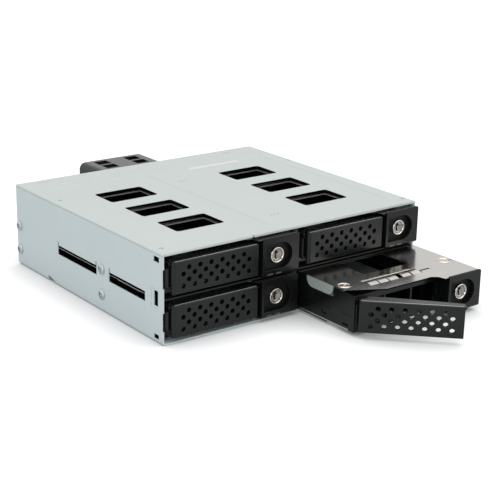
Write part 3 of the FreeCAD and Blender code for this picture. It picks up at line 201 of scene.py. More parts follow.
def painted(name, colour, spread=0.03, rough=(0.36, 0.46), metallic=0.0, grain=700.0, bump=0.05,
            edge=0.0, gloss=0.5):
    """Coated or moulded surface with a fine grain."""
    shader = Shader(name)
    fine = shader.noise(grain, detail=4.0)
    cloud = shader.noise(CLOUD_SCALE)
    shader.tint(shader.ramp(cloud, scaled(colour, 1 - spread), scaled(colour, 1 + spread)),
                shader.ramp(fine, 1 - spread, 1.0))
    shader.rough(fine, *rough)
    shader.set(Metallic=metallic, Specular_IOR_Level=gloss)
    shader.bump(fine, bump, GRAIN_DEPTH, edge)
    return shader.material


def brushed(name, colour, rough, spread, grain):
    """Bare steel with fine lines along X, and highlights drawn out across them."""
    shader = Shader(name)
    lines = shader.noise(LINE_SCALE, detail=6.0, stretch=LINE_STRETCH, roughness=0.7)
    sheen = shader.noise(SHEEN_SCALE)
    shader.tint(shader.ramp(lines, scaled(colour, 1 - spread), scaled(colour, 1 + spread * 0.6)),
                shader.ramp(sheen, SHEEN_LOW, 1.0))
    shader.rough(lines, *rough)
    shader.set(Metallic=1.0, Anisotropic=grain)
    across = shader.node("ShaderNodeTangent", direction_type="RADIAL", axis="X")
    shader.link(across.outputs["Tangent"], shader.principled.inputs["Tangent"])
    shader.bump(lines, LINE_BUMP, LINE_DEPTH)
    return shader.material


def polished(name, colour, rough=(0.05, 0.12)):
    """Plated metal with faint smudges."""
    shader = Shader(name)
    smudge = shader.noise(SMUDGE_SCALE)
    shader.link(shader.ramp(smudge, scaled(colour, SMUDGE_LOW), colour),
                shader.principled.inputs["Base Color"])
    shader.rough(smudge, *rough)
    shader.set(Metallic=1.0)
    return shader.material


def board_material():
    """Solder mask with faint tracks."""
    shader = Shader("board")
    tracks = shader.node("ShaderNodeTexVoronoi", distance="MANHATTAN", feature="DISTANCE_TO_EDGE",
                         Scale=TRACK_SCALE)
    shader.link(shader.coords(), tracks.inputs["Vector"])
    shader.link(shader.ramp(tracks.outputs["Distance"], TRACK_GREEN, MASK_GREEN, *TRACK_EDGES),
                shader.principled.inputs["Base Color"])
    shader.set(Roughness=0.35)
    return shader.material


COVER_STEEL = (0.60, 0.645, 0.62)
# The shell's sides are the cover's painted steel, written lighter and bluer: painted light that makes
# up for the weaker light on them.
SHELL_STEEL_PAINTED_LIGHTER = (0.64, 0.72, 0.735)
PLATE_STEEL = (0.62, 0.605, 0.575)
HANDLE_GREY = (0.0082, 0.0102, 0.01)
# The flange top is painted lighter than the face for the light on it, and the bend carries a painted
# highlight.
FLANGE_PAINTED_LIGHTER = (0.011, 0.013, 0.0125)
BEND_HIGHLIGHT_GREY = (0.34, 0.36, 0.35)
PLASTIC_BLACK = (0.0055, 0.006, 0.006)
RECESS_PAINTED_SHADE = (0.012, 0.013, 0.013)
# Black of the pieces of painted shade, put where there is only shade.
PAINTED_SHADE_BLACK = (0.0015, 0.0015, 0.0015)

materials = {
    "cover": painted("cover_steel", COVER_STEEL, 0.012, (0.42, 0.5)),
    "shell": painted("shell_steel_painted_lighter", SHELL_STEEL_PAINTED_LIGHTER, 0.015, (0.38, 0.48)),
    "plate": brushed("plate_steel", PLATE_STEEL, (0.14, 0.21), spread=0.08, grain=0.5),
    "plastic": painted("black_plastic", PLASTIC_BLACK, 0.12, (0.17, 0.26), grain=900.0,
                       edge=0.0002, gloss=0.42),
    "handle": painted("handle_paint", HANDLE_GREY, 0.08, (0.2, 0.3), grain=1100.0, bump=0.06,
                      edge=0.00025, gloss=0.43),
    "flange": painted("handle_flange", FLANGE_PAINTED_LIGHTER, 0.08, (0.2, 0.3), grain=1100.0, bump=0.02),
    "bend_highlight": painted("handle_bend_highlight", BEND_HIGHLIGHT_GREY, 0.08, (0.2, 0.3), grain=1100.0, bump=0.02),
    # Painted shade on the floor of the lock's recess.
    "recess": painted("recess_painted_shade", RECESS_PAINTED_SHADE, 0.05, (0.35, 0.45), gloss=0.2),
    "barrel": painted("barrel_nickel", (0.46, 0.42, 0.38), 0.1, (0.2, 0.3), metallic=0.6),
    # Painted reflection: matte grey in place of the steel lobe's own reflections.
    "lobe": painted("lobe_painted_reflection", (0.35, 0.4, 0.38), 0.06, (0.22, 0.3), bump=0.02),
    "dark": painted("dark_sheet", (0.012, 0.012, 0.012), 0.1, (0.5, 0.6)),
    "chrome": polished("chrome", (0.82, 0.80, 0.77)),
    "zinc": polished("zinc", (0.62, 0.68, 0.70), (0.22, 0.34)),
    "warm_zinc": polished("warm_zinc", (0.74, 0.66, 0.56), (0.16, 0.26)),
    # The countersink seats' shape is real, and their colour, brighter than the plate's steel, is a
    # painted highlight.
    "seat": polished("seat_painted_highlight", (0.93, 0.89, 0.82), (0.1, 0.18)),
    "spring": polished("spring_steel", (0.72, 0.69, 0.65), (0.16, 0.26)),
    "pipe": painted("light_pipe", (0.11, 0.11, 0.105), 0.05, (0.15, 0.25), bump=0.0),
    "board": board_material(),
    "connector": painted("connector_black", (0.02, 0.02, 0.022), 0.08, (0.35, 0.5)),
    "connector_white": painted("connector_white", (0.62, 0.60, 0.54), 0.04, (0.35, 0.5)),
    "fan": painted("fan_plastic", (0.010, 0.0105, 0.011), 0.1, (0.15, 0.22), bump=0.03,
                   edge=0.0002),
    "brass": polished("brass", (0.72, 0.52, 0.24), (0.2, 0.3)),
    # Painted shade: black without gloss, for pieces put where there is only shade.
    "painted_shade": painted("painted_shade_black", PAINTED_SHADE_BLACK, 0.1, (0.8, 0.9), gloss=0.0),
    "label": painted("blank_strip", (0.74, 0.73, 0.72), 0.01, (0.3, 0.4)),
    # Painted light: grey that stands for the light on the plates' window edges.
    "rim": painted("rim_painted_light", (0.30, 0.31, 0.30), 0.1, (0.35, 0.45)),
    "strip": polished("rail_strip", (0.72, 0.70, 0.66), (0.2, 0.3)),
}

NODE_MATERIALS = {
    "top_cover": "cover", "chassis_shell": "shell", "centre_divider": "dark", "shelf_left": "dark",
    "shelf_right": "dark", "rear_panel": "dark", "fan_shroud": "fan", "backplane_board": "board",
    "drive_connectors": "connector", "data_connectors": "connector",
    "power_connectors": "connector_white", "fan_header": "connector_white",
    "board_standoffs": "brass", "board_screws": "zinc", "rear_panel_screws": "zinc",
    "side_screws": "zinc", "fan_frame": "fan", "fan_rotor": "fan", "fan_screws": "zinc",
}
TRAY_MATERIALS = {
    "tray_plate": "plate", "tray_frame": "plastic", "spring_fingers": "spring",
    "plate_screws": "zinc", "lock_housing": "plastic", "lock_ring": "chrome",
    "light_pipes": "pipe", "hinge_pin": "zinc", "handle": "handle", "lock_plug": "chrome",
}


def dress(node, material):
    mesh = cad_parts[node].data
    mesh.materials.clear()
    mesh.materials.append(materials[material])


for node, material in NODE_MATERIALS.items():
    dress(node, material)
for node, material in TRAY_MATERIALS.items():
    for tray in TRAYS:
        dress(node + "_" + tray, material)


def add_piece(name, mesh, material, body):
    mesh.materials.clear()
    mesh.materials.append(materials[material])
    piece = bpy.data.objects.new(name, mesh)
    bpy.context.collection.objects.link(piece)
    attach(piece, body)
    return piece


def mesh_of(name, build):
    mesh = bpy.data.meshes.new(name)
    work = bmesh.new()
    build(work)
    bmesh.ops.recalc_face_normals(work, faces=work.faces)
    work.to_mesh(mesh)
    work.free()
    return mesh


def join_rings(work, ring, following):
    """Side faces between two rings with as many points."""
    for index in range(len(ring)):
        nxt = (index + 1) % len(ring)
        work.faces.new((ring[index], ring[nxt], following[nxt], following[index]))


def add_box(work, low, high):
    """A box between two corners, in metres."""
    size = [b - a for a, b in zip(low, high)]
    middle = [(a + b) / 2 for a, b in zip(low, high)]
    matrix = Matrix.Translation(middle) @ Matrix.Diagonal((*size, 1))
    bmesh.ops.create_cube(work, size=1.0, matrix=matrix)


def boxes_piece(name, boxes, material, body):
    def build(work):
        for low, high in boxes:
            add_box(work, low, high)
    return add_piece(name, mesh_of(name, build), material, body)


def rounded_outline(half_x, half_y, radius, steps=5):
    """Corner points of a rounded rectangle, anticlockwise."""
    points = []
    for index, (side_x, side_y) in enumerate(((1, 1), (-1, 1), (-1, -1), (1, -1))):
        for step in range(steps + 1):
            turn = math.pi / 2 * (index + step / steps)
            points.append((side_x * (half_x - radius) + radius * math.cos(turn),
                           side_y * (half_y - radius) + radius * math.sin(turn)))
    return points


def add_frame(work, centre, half_x, half_y, radius, wall, low_z, high_z):
    """A standing rounded frame whose outside has the given half sizes."""
    outer = rounded_outline(half_x, half_y, radius)
    inner = rounded_outline(half_x - wall, half_y - wall, radius - wall)
    rings = []
    for outline, z in ((outer, low_z), (outer, high_z), (inner, high_z), (inner, low_z)):
        rings.append([work.verts.new((centre[0] + x, centre[1] + y, z)) for x, y in outline])
    for ring, following in zip(rings, rings[1:] + rings[:1]):
        join_rings(work, ring, following)


# ---- painted shade in the openings of shell and cover, in millimetres from the front edge ----
SHADE_SHEET = 0.35
WALL_SHEET = 0.8
SLOT_SPANS = ((13.7, 43.8), (54.5, 90.5))
SLOT_HEIGHTS = ((16.4, 18.85), (19.7, 22.9))    # below and above the lower plate's edge
HOLES_SHADED = (((2.7, 6.9), (36.8, 39.3)), ((3.0, 6.7), (1.9, 4.0)), ((3.5, 6.6), (16.9, 23.9)))
WINDOW_COUNT = 3
WINDOW_FIRST = 23.04
WINDOW_PITCH = 27.52
WINDOW_WIDTH = 26.1
WINDOW_DEPTH = 16.86
WINDOW_RADIUS = 1.5
SHADE_WALL = 0.1
RIM_WIDTH = 27.3
RIM_DEPTH = 18.06
RIM_WALL = 0.12


def column_centre(tray):
    low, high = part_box("tray_frame_" + tray)
    return (low[0] + high[0]) / 2


def from_front(distance):
    return FRONT_Y + distance * MM


def wall_painted_shade():
    """Painted shade: black sheets behind the slots and square holes of both side walls."""
    boxes = []
    inside = HALF_WIDTH + (SKIN - WALL_SHEET) * MM
    spans = [(span, heights) for heights in SLOT_HEIGHTS for span in SLOT_SPANS]
    for side in (-1, 1):
        xs = sorted((side * inside, side * (inside + SHADE_SHEET * MM)))
        for (start, end), (low, high) in spans + list(HOLES_SHADED):
            boxes.append(((xs[0], from_front(start), low * MM), (xs[1], from_front(end), high * MM)))
    boxes_piece("wall_painted_shade", boxes, "painted_shade", "cage")


def add_window_frames(work, tray, width, depth, wall, low_z, high_z):
    """Thin frames that stand in the three windows over a tray, heights in metres."""
    for index in range(WINDOW_COUNT):
        middle = from_front(WINDOW_FIRST + index * WINDOW_PITCH + WINDOW_DEPTH / 2)
        add_frame(work, (column_centre(tray), middle), width / 2 * MM, depth / 2 * MM,
                  WINDOW_RADIUS * MM, wall * MM, low_z, high_z)


def window_edge_painted_shade():
    """Painted shade on the cut edges of the cover's windows."""
    def build(work):
        for tray in UPPER_TRAYS:
            add_window_frames(work, tray, WINDOW_WIDTH - 0.02, WINDOW_DEPTH - 0.02, SHADE_WALL,
                              COVER_LOW[2] + 0.02 * MM, TOP_Z - 0.04 * MM)
    add_piece("window_edge_painted_shade", mesh_of("window_edge_painted_shade", build), "painted_shade", "cage")


# ---- blank strip on the cover ----
STRIP_X = (15.4, 47.4)
STRIP_Y = (107.0, 110.8)
STRIP_SUNK = 0.05
STRIP_PROUD = 0.12
STRIP_EDGE = 0.1


def cover_strip():
    low = (STRIP_X[0] * MM, from_front(STRIP_Y[0]), TOP_Z - STRIP_SUNK * MM)
    high = (STRIP_X[1] * MM, from_front(STRIP_Y[1]), TOP_Z + STRIP_PROUD * MM)
    piece = boxes_piece("cover_strip", [(low, high)], "label", "cage")
    bevel = piece.modifiers.new("edge", "BEVEL")
    bevel.width = STRIP_EDGE * MM
    bevel.segments = 2


# ---- screws and other turned forms ----
def in_metres(profile):
    return [(radius * MM, height * MM) for radius, height in profile]


def add_turned(work, profile, place, turn, segments=40, closed=False):
    """A turned form, from a profile of (radius, height) from the axis outwards and down.

    A closed profile does not reach the axis, and its last point joins the first."""
    rings = []
    for radius, height in profile:
        ring = []
        for index in range(segments):
            angle = 2 * math.pi * index / segments
            point = Vector((radius * math.cos(angle), radius * math.sin(angle), height))
            ring.append(work.verts.new(place + turn @ point))
        rings.append(ring)
    for ring, following in zip(rings, rings[1:] + (rings[:1] if closed else [])):
        join_rings(work, ring, following)
    if not closed:
        work.faces.new(rings[0])
        work.faces.new(rings[-1])


CROSS_TURN = math.radians(38)


def cross_cutter(turns, depth, reach, width):
    """Boxes that cut the cross recesses."""
    def build(work):
        for place, turn in turns:
            for long_x, long_y in ((reach, width), (width, reach)):
                matrix = (Matrix.Translation(place) @ turn.to_4x4()
                          @ Matrix.Rotation(CROSS_TURN, 4, "Z")
                          @ Matrix.Diagonal((long_x, long_y, depth * 2, 1)))
                bmesh.ops.create_cube(work, size=1.0, matrix=matrix)
    return mesh_of("cutter", build)


def cut(mesh, cutter_mesh):
    """The mesh less the cutter, as a new mesh."""
    body = bpy.data.objects.new("body", mesh)
    tool = bpy.data.objects.new("tool", cutter_mesh)
    for item in (body, tool):
        bpy.context.collection.objects.link(item)
    step = body.modifiers.new("cut", "BOOLEAN")
    step.operation = "DIFFERENCE"
    step.solver = "EXACT"
    step.use_self = True
    step.object = tool
    done = bpy.data.meshes.new_from_object(body.evaluated_get(bpy.context.evaluated_depsgraph_get()))
    for item in (body, tool):
        bpy.data.objects.remove(item)
    return done


def shade_smooth(mesh, angle=35.0):
    for face in mesh.polygons:
        face.use_smooth = True
    mesh.set_sharp_from_angle(angle=math.radians(angle))


HEAD_R = 2.45 * MM
HEAD_HEIGHT = 1.25 * MM
HEAD_STEPS = 6
HEAD_RIM = 0.35    # height of the dome's edge, as a share of the head's
CROSS_DEPTH = 0.8 * MM
CROSS_REACH = 2.9 * MM
CROSS_WIDTH = 0.85 * MM


def domed_head(radius, height, shank, length):
    """Profile of a screw from the middle of its top down to the end of the shank."""
    turns = [step / HEAD_STEPS * math.pi / 2 for step in range(1, HEAD_STEPS + 1)]
    dome = [(radius * math.sin(turn), height * (HEAD_RIM + (1 - HEAD_RIM) * math.cos(turn)))
            for turn in turns]
    return ([(radius * 0.02, height)] + dome
            + [(radius, height * 0.1), (radius * 0.97, 0), (shank, 0), (shank, -length)])


def screw_group(name, node, seats, axis, shank, length):
    """Cross recessed screws that stand for a node: seats lie under the heads, axis points out."""
    turn = Vector((0, 0, 1)).rotation_difference(Vector(axis)).to_matrix()

    def build(work):
        for seat in seats:
            add_turned(work, domed_head(HEAD_R, HEAD_HEIGHT, shank, length), Vector(seat), turn)
    tops = [(Vector(seat) + Vector(axis) * HEAD_HEIGHT, turn) for seat in seats]
    mesh = cut(mesh_of(name, build), cross_cutter(tops, CROSS_DEPTH, CROSS_REACH, CROSS_WIDTH))
    shade_smooth(mesh)
    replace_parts(add_piece(name, mesh, "zinc", "cage"), node)


MOUNT_Y = (-39.625 * MM, 39.625 * MM)
MOUNT_HEIGHTS = (8.4 * MM, 20.6 * MM)
MOUNT_SHANK = 0.75 * MM
SHANK_R = 1.45 * MM
SMALL_SHANK_R = 1.25 * MM
PANEL_SCREW_X = 68.2 * MM
PANEL_SCREW_HEIGHTS = (14.75 * MM, 29.0 * MM)


def corner_seats(node, y):
    """Axes of four screws whose heads fill the corners of a node's box."""
    low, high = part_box(node)
    return [(x, y, z) for x in (low[0] + HEAD_R, high[0] - HEAD_R)
            for z in (low[2] + HEAD_R, high[2] - HEAD_R)]


def all_screws():
    for side, label in ((-1, "left"), (1, "right")):
        seats = [(side * HALF_WIDTH, y, z) for y in MOUNT_Y for z in MOUNT_HEIGHTS]
        screw_group("side_screws_" + label, "side_screws", seats, (side, 0, 0), SHANK_R, MOUNT_SHANK)
    for node in ("fan_screws", "rear_panel_screws"):
        low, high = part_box(node)
        seat_y = high[1] - HEAD_HEIGHT
        seats = corner_seats(node, seat_y)
        shank = SHANK_R
        if node == "rear_panel_screws":
            shank = SMALL_SHANK_R
            seats = corner_seats("board_screws", seat_y)
            seats += [(side * PANEL_SCREW_X, seat_y, z) for side in (-1, 1)
                      for z in PANEL_SCREW_HEIGHTS]
        screw_group(node + "_detailed", node, seats, (0, 1, 0), shank, seat_y - low[1])
    low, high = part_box("board_screws")
    seat_y = low[1] + HEAD_HEIGHT
    screw_group("board_screws_detailed", "board_screws", corner_seats("board_screws", seat_y),
                (0, -1, 0), SMALL_SHANK_R, high[1] - seat_y)


# ---- pieces on the trays, in millimetres from the tray's middle, the cage's front and its base ----
HANDLE_OPEN = math.radians(44)
PIVOT = Vector((-29.8, 4.0, 0)) * MM
TRAY_HALF = 35.25
PLATE_TOP = 18.3
PLATE_BOTTOM = 17.7
BLOCK_RIGHT = -25.5
LOCK_LEFT = 14.8
LOCK_Z = 9.8
PLUG_X = 23.8
HANDLE_TOP = 16.8


def tray_out(tray):
    """How far a tray stands out, measured against one that is closed."""
    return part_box("tray_plate_upper_right")[0][1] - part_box("tray_plate_" + tray)[0][1]


def tray_place(tray):
    """From a tray's own place to the frame, at rest."""
    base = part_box("tray_frame_" + tray)[0][2]
    return Matrix.Translation((column_centre(tray), FRONT_Y - tray_out(tray), base))


def handle_place(tray):
    """The same for a handle, which stands open on the tray that is pulled out."""
    place = tray_place(tray)
    if tray_out(tray) > MM:
        place = (place @ Matrix.Translation(PIVOT) @ Matrix.Rotation(-HANDLE_OPEN, 4, "Z")
                 @ Matrix.Translation(-PIVOT))
    return place


def placed(mesh, place):
    mesh.transform(place)
    return mesh


def mm_boxes(*boxes):
    """Builder of boxes given as (x, y, z) pairs in millimetres."""
    def build(work):
        for spans in boxes:
            low, high = zip(*spans)
            add_box(work, [value * MM for value in low], [value * MM for value in high])
    return build


def add_prism(work, first, second):
    """A solid between two flat outlines with as many points, in millimetres."""
    rings = []
    for outline in (first, second):
        rings.append([work.verts.new([value * MM for value in point]) for point in outline])
        work.faces.new(rings[-1])
    join_rings(work, *rings)


def upright(points, low, high):
    """The two outlines of an upright prism over points in plan."""
    return [[(x, y, z) for x, y in points] for z in (low, high)]


def arc(centre_a, centre_b, radius, first, last, step):
    """Points of an arc, with the angles in whole degrees."""
    turns = [math.radians(angle) for angle in range(first, last + 1, step)]
    return [(centre_a + radius * math.cos(turn), centre_b + radius * math.sin(turn))
            for turn in turns]


def tray_piece(name, build, material, tray, body="tray_"):
    """A piece on a tray, or on its handle or plug."""
    place = handle_place(tray) if body == "handle_" else tray_place(tray)
    return add_piece(name + "_" + tray, placed(mesh_of(name, build), place), material, body + tray)


WALL_FACE = 4.6
WALL_BACK = 6.8
VENT_PITCH = (LOCK_LEFT - BLOCK_RIGHT) / 5
VENT_HEIGHTS = (3.9, 14.9)
# The vent bars, the sheet behind the vents and the caps below are black boxes of painted shade.
SHADED_BARS = (2, 4)
SHADED_BAR_HALF = 0.55
VENT_SHADE = ((BLOCK_RIGHT + 0.2, LOCK_LEFT - 0.4), (WALL_BACK + 0.03, WALL_BACK + 0.2), (1.5, 17.4))
SHADE_CAP_HEIGHTS = (PLATE_BOTTOM - 0.02, PLATE_BOTTOM + SKIN)
SHADE_CAP_LEFT = -TRAY_HALF + 0.1
BLOCK_BACK = 11.5


def front_painted_shade(tray):
    """Painted shade: a black sheet behind the vents, black over two vent bars, and black over what
    stays unlit in front.
    """
    boxes = [VENT_SHADE, ((SHADE_CAP_LEFT, LOCK_LEFT), (WALL_FACE - 0.02, WALL_BACK), SHADE_CAP_HEIGHTS),
             ((SHADE_CAP_LEFT, BLOCK_RIGHT + 0.05), (WALL_BACK, BLOCK_BACK), SHADE_CAP_HEIGHTS)]
    for index in SHADED_BARS:
        middle = BLOCK_RIGHT + index * VENT_PITCH
        boxes.append(((middle - SHADED_BAR_HALF, middle + SHADED_BAR_HALF),
                      (WALL_FACE - 0.06, WALL_FACE + 0.05), VENT_HEIGHTS))
    tray_piece("front_painted_shade", mm_boxes(*boxes), "painted_shade", tray)


PLATE_FRONT_EDGE = ((-TRAY_HALF, BLOCK_BACK), (-18.5, 3.0), (9.2, 3.0), (11.8, 1.2), (12.8, -2.4),
                    (LOCK_LEFT + 0.1, -2.4))
EDGE_THICKNESS = 0.05


def plate_edge_painted_shade(tray):
    """Painted shade: a dark line along the plate's sheared front edge."""
    def build(work):
        for start, end in zip(PLATE_FRONT_EDGE, PLATE_FRONT_EDGE[1:]):
            start, end = Vector(start), Vector(end)
            along = (end - start).normalized()
            out = Vector((along.y, -along.x)) * EDGE_THICKNESS
            points = [tuple(point) for point in (start, end, end + out, start + out)]
            add_prism(work, *upright(points, PLATE_BOTTOM, PLATE_TOP - 0.1))
    tray_piece("plate_edge_painted_shade", build, "painted_shade", tray)


FLANGE_OUTLINE = ((-31.0, -1.4), (13.0, -1.4), (13.0, 2.0), (-20.0, 4.3), (-28.3, 4.3),
                  (-28.3, 2.0), (-31.6, 0.2))
FLANGE_SPAN = (HANDLE_TOP - 0.3, HANDLE_TOP + SKIN)
BEND_OUTLINE = ((-31.0, -1.7), (12.6, -1.7), (12.6, -1.2), (-31.0, -1.2))
BEND_SPAN = (HANDLE_TOP - 0.08, HANDLE_TOP + 0.05)


def handle_flange(tray):
    """Upper flange of the handle, deeper towards the hinge, painted a little lighter than the face
    for the light on its top, and a painted highlight along its bend.
    """
    for name, outline, span, material in (
            ("handle_flange", FLANGE_OUTLINE, FLANGE_SPAN, "flange"),
            ("handle_bend_highlight", BEND_OUTLINE, BEND_SPAN, "bend_highlight")):
        def build(work):
            add_prism(work, *upright(outline, *span))
        tray_piece(name, build, material, tray, "handle_")


RAIL_STRIP = ((-TRAY_HALF - SKIN, -TRAY_HALF + 0.1), (8.0, 100.0), (0.68, 1.25))


def rail_strip(tray):
    """Bright strip along the lower edge of the left side."""
    tray_piece("rail_strip", mm_boxes(RAIL_STRIP), "strip", tray)


LOBE_SPAN = (18.8, 37.0)
LOBE_HEIGHTS = (PLATE_TOP - 4.95, PLATE_TOP - 0.15)
LOBE_R = 3.9
LOBE_FACES = (-TRAY_HALF - 0.04, -TRAY_HALF + 0.05)    # outside and sunk in the plate


def side_lobe(tray):
    """Face of the plate's lobe on the left side: a matte grey that is a painted reflection, standing
    for the bright steel.
    """
    low = LOBE_HEIGHTS[0] + LOBE_R
    points = [(LOBE_SPAN[0], LOBE_HEIGHTS[1])]
    points += arc(LOBE_SPAN[0] + LOBE_R, low, LOBE_R, 180, 270, 15)
    points += arc(LOBE_SPAN[1] - LOBE_R, low, LOBE_R, 270, 360, 15)
    points.append((LOBE_SPAN[1], LOBE_HEIGHTS[1]))

    def build(work):
        add_prism(work, *([(x, y, z) for y, z in points] for x in LOBE_FACES))
    tray_piece("side_lobe", build, "lobe", tray)


RECESS_LEFT = LOCK_LEFT + 1.3
RECESS_CENTRE = LOCK_LEFT + 10.5
RECESS_R = 6.1
RECESS_FACES = (-0.46, -0.41)


def lock_recess_shade(tray):
    """Painted shade: a black floor in the recess round the lock."""
    points = [(RECESS_LEFT, LOCK_Z - RECESS_R)]
    points += arc(RECESS_CENTRE, LOCK_Z, RECESS_R, -90, 90, 10)
    points.append((RECESS_LEFT, LOCK_Z + RECESS_R))

    def build(work):
        add_prism(work, *([(x, y, z) for x, z in points] for y in RECESS_FACES))
    tray_piece("lock_recess_shade", build, "recess", tray)


COLLAR_PROFILE = ((2.9, -1.0), (2.9, 1.75), (3.1, 2.18), (3.25, 2.28), (3.45, 2.28), (3.6, 2.18),
                  (3.72, 1.95), (3.72, -1.0))
BARREL_PROFILE = ((0.05, 0.55), (1.25, 0.6), (1.5, 0.72), (2.45, 1.52), (2.62, 1.58), (2.75, 1.55),
                  (2.84, 1.42), (2.84, -3.55))
LOCK_SEGMENTS = 64
KEY_SLOT_DEPTH = (-3, 1.0)
KEY_SLOT = (((PLUG_X - 0.55, PLUG_X + 0.55), KEY_SLOT_DEPTH, (LOCK_Z - 2.0, LOCK_Z + 2.0)),
            ((PLUG_X - 0.1, PLUG_X + 1.25), KEY_SLOT_DEPTH, (LOCK_Z + 0.3, LOCK_Z + 1.3)))
LOCK_CAM = ((PLUG_X - 1.6, PLUG_X + 1.6), (3.5, 5.0), (LOCK_Z - 1.6, LOCK_Z + 5.1))


def lock_front(tray):
    """Collar of the lock and its turning plug with a dished face and a key slot."""
    facing = Matrix.Rotation(math.radians(90), 3, "X")
    axis = Vector((PLUG_X * MM, 0, LOCK_Z * MM))

    def collar(work):
        add_turned(work, in_metres(COLLAR_PROFILE), axis, facing, LOCK_SEGMENTS, closed=True)

    def barrel(work):
        add_turned(work, in_metres(BARREL_PROFILE), axis, facing, LOCK_SEGMENTS)

    ring = mesh_of("lock_collar", collar)
    plug = cut(mesh_of("lock_plug", barrel), mesh_of("slot", mm_boxes(*KEY_SLOT)))
    for name, mesh, material, body, node in (
            ("lock_collar_", ring, "chrome", "tray_", "lock_ring_"),
            ("lock_barrel_", plug, "barrel", "plug_", "lock_plug_")):
        shade_smooth(mesh)
        piece = add_piece(name + tray, placed(mesh, tray_place(tray)), material, body + tray)
        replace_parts(piece, node + tray)
    tray_piece("lock_cam", mm_boxes(LOCK_CAM), "zinc", tray, "plug_")


SINK_FLOOR = PLATE_TOP - 0.35
SINK_R = 2.75
SUNK_HEIGHT = 0.4
SUNK_HEAD = ((0.05, 0.38), (1.5, 0.40), (1.95, 0.36), (2.3, 0.24), (2.55, 0.05), (1.45, 0.0),
             (1.45, -0.25))
SUNK_CROSS = (0.3 * MM, 2.5 * MM, 0.7 * MM)
SEAT_RING = ((2.65, 0.0), (2.7, 0.3), (2.85, 0.41), (3.05, 0.41), (3.2, 0.3), (3.25, 0.0))
SEAT_SEGMENTS = 40


def plate_screws(tray):
    """Flush screws of the plate in seats of a brighter metal than the plate; their brightness is a
    painted highlight of the countersinks.
    """
    low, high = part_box("plate_screws_" + tray)
    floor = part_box("tray_frame_" + tray)[0][2] + SINK_FLOOR * MM
    seats = [Vector((x, y, floor)) for x in (low[0] + SINK_R * MM, high[0] - SINK_R * MM)
             for y in (low[1] + SINK_R * MM, high[1] - SINK_R * MM)]
    level = Matrix.Identity(3)

    def heads(work):
        for seat in seats:
            add_turned(work, in_metres(SUNK_HEAD), seat, level)

    def rings(work):
        for seat in seats:
            add_turned(work, in_metres(SEAT_RING), seat, level, SEAT_SEGMENTS, closed=True)

    tops = [(seat + Vector((0, 0, SUNK_HEIGHT * MM)), level) for seat in seats]
    screws = cut(mesh_of("plate_screws", heads), cross_cutter(tops, *SUNK_CROSS))
    shade_smooth(screws)
    piece = add_piece("plate_screws_detailed_" + tray, screws, "warm_zinc", "tray_" + tray)
    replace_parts(piece, "plate_screws_" + tray)
    sinks = mesh_of("plate_seats", rings)
    shade_smooth(sinks)
    add_piece("plate_seats_" + tray, sinks, "seat", "tray_" + tray)


FINGER_LEFT = BLOCK_RIGHT + 4.3
FINGER_PLACES = (3.0, 8.9, 14.8, 22.8, 28.9)
FINGER_WIDTH = 5.2
LAST_FINGER_RIGHT = FINGER_LEFT + FINGER_PLACES[-1] + FINGER_WIDTH / 2
FINGER_SLOT = (9.7, 17.3)
FINGER_SLOT_RIGHT = FINGER_LEFT + 38.2
LEAF_SPAN = (9.85, 16.3)
LEAF_RISE = 0.95
LEAF_STEEPNESS = 0.6     # below 1 the arch is flatter on top and steeper at its ends
LEAF_THICKNESS = 0.2
LEAF_STEPS = 18
LEAF_SMOOTH = 50.0
CARRIER_SPANS = ((FINGER_SLOT[0] - 1.2, FINGER_SLOT[0] + 0.4),
                 (FINGER_SLOT[1] - 0.4, FINGER_SLOT[1] + 1.2))
FILL_SPANS = ((FINGER_SLOT[0] - 0.05, 11.6), (12.7, FINGER_SLOT[1] + 0.05))


def add_leaf(work, left):
    """One arched leaf, from its front end to its rear end."""
    right = left + FINGER_WIDTH
    rows = []
    for step in range(LEAF_STEPS + 1):
        share = step / LEAF_STEPS
        y = LEAF_SPAN[0] + share * (LEAF_SPAN[1] - LEAF_SPAN[0])
        top = PLATE_BOTTOM + LEAF_RISE * math.sin(math.pi * share) ** LEAF_STEEPNESS
        rows.append([work.verts.new((x * MM, y * MM, z * MM)) for x, z in (
            (left, top), (right, top), (right, top - LEAF_THICKNESS),
            (left, top - LEAF_THICKNESS))])
    for row, following in zip(rows, rows[1:]):
        join_rings(work, row, following)
    work.faces.new(rows[0])
    work.faces.new(rows[-1])


def spring_fingers(tray):
    """Arched leaves, steep at both ends, and the strip of the plate beside the last one."""
    def build(work):
        for place in FINGER_PLACES:
            add_leaf(work, FINGER_LEFT + place - FINGER_WIDTH / 2)
        heights = (PLATE_BOTTOM - 0.2, PLATE_BOTTOM - 0.01)
        mm_boxes(*(((FINGER_LEFT - 1, LAST_FINGER_RIGHT + 1), span, heights)
                   for span in CARRIER_SPANS))(work)
    mesh = placed(mesh_of("fingers", build), tray_place(tray))
    shade_smooth(mesh, angle=LEAF_SMOOTH)
    piece = add_piece("contact_leaves_" + tray, mesh, "spring", "tray_" + tray)
    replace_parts(piece, "spring_fingers_" + tray)
    width = (LAST_FINGER_RIGHT + 0.5, FINGER_SLOT_RIGHT + 0.05)
    tray_piece("slot_fill", mm_boxes(*((width, span, (PLATE_BOTTOM, PLATE_TOP - 0.01))
                                       for span in FILL_SPANS)), "plate", tray)


def window_rims():
    """Sheared edges of the plates' windows, seen through the cover, painted grey as painted light on
    those edges.
    """
    for tray in UPPER_TRAYS:
        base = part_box("tray_frame_" + tray)[0][2]

        def build(work):
            add_window_frames(work, tray, RIM_WIDTH, RIM_DEPTH, RIM_WALL,
                              base + (PLATE_BOTTOM + 0.02) * MM, base + (PLATE_TOP - 0.02) * MM)
        add_piece("window_rims_" + tray, mesh_of("window_rims", build), "rim", "tray_" + tray)


def tray_details():
    for tray in TRAYS:
        front_painted_shade(tray)
        plate_edge_painted_shade(tray)
        handle_flange(tray)
        rail_strip(tray)
        side_lobe(tray)
        lock_recess_shade(tray)
        lock_front(tray)
        plate_screws(tray)
        spring_fingers(tray)
    window_rims()


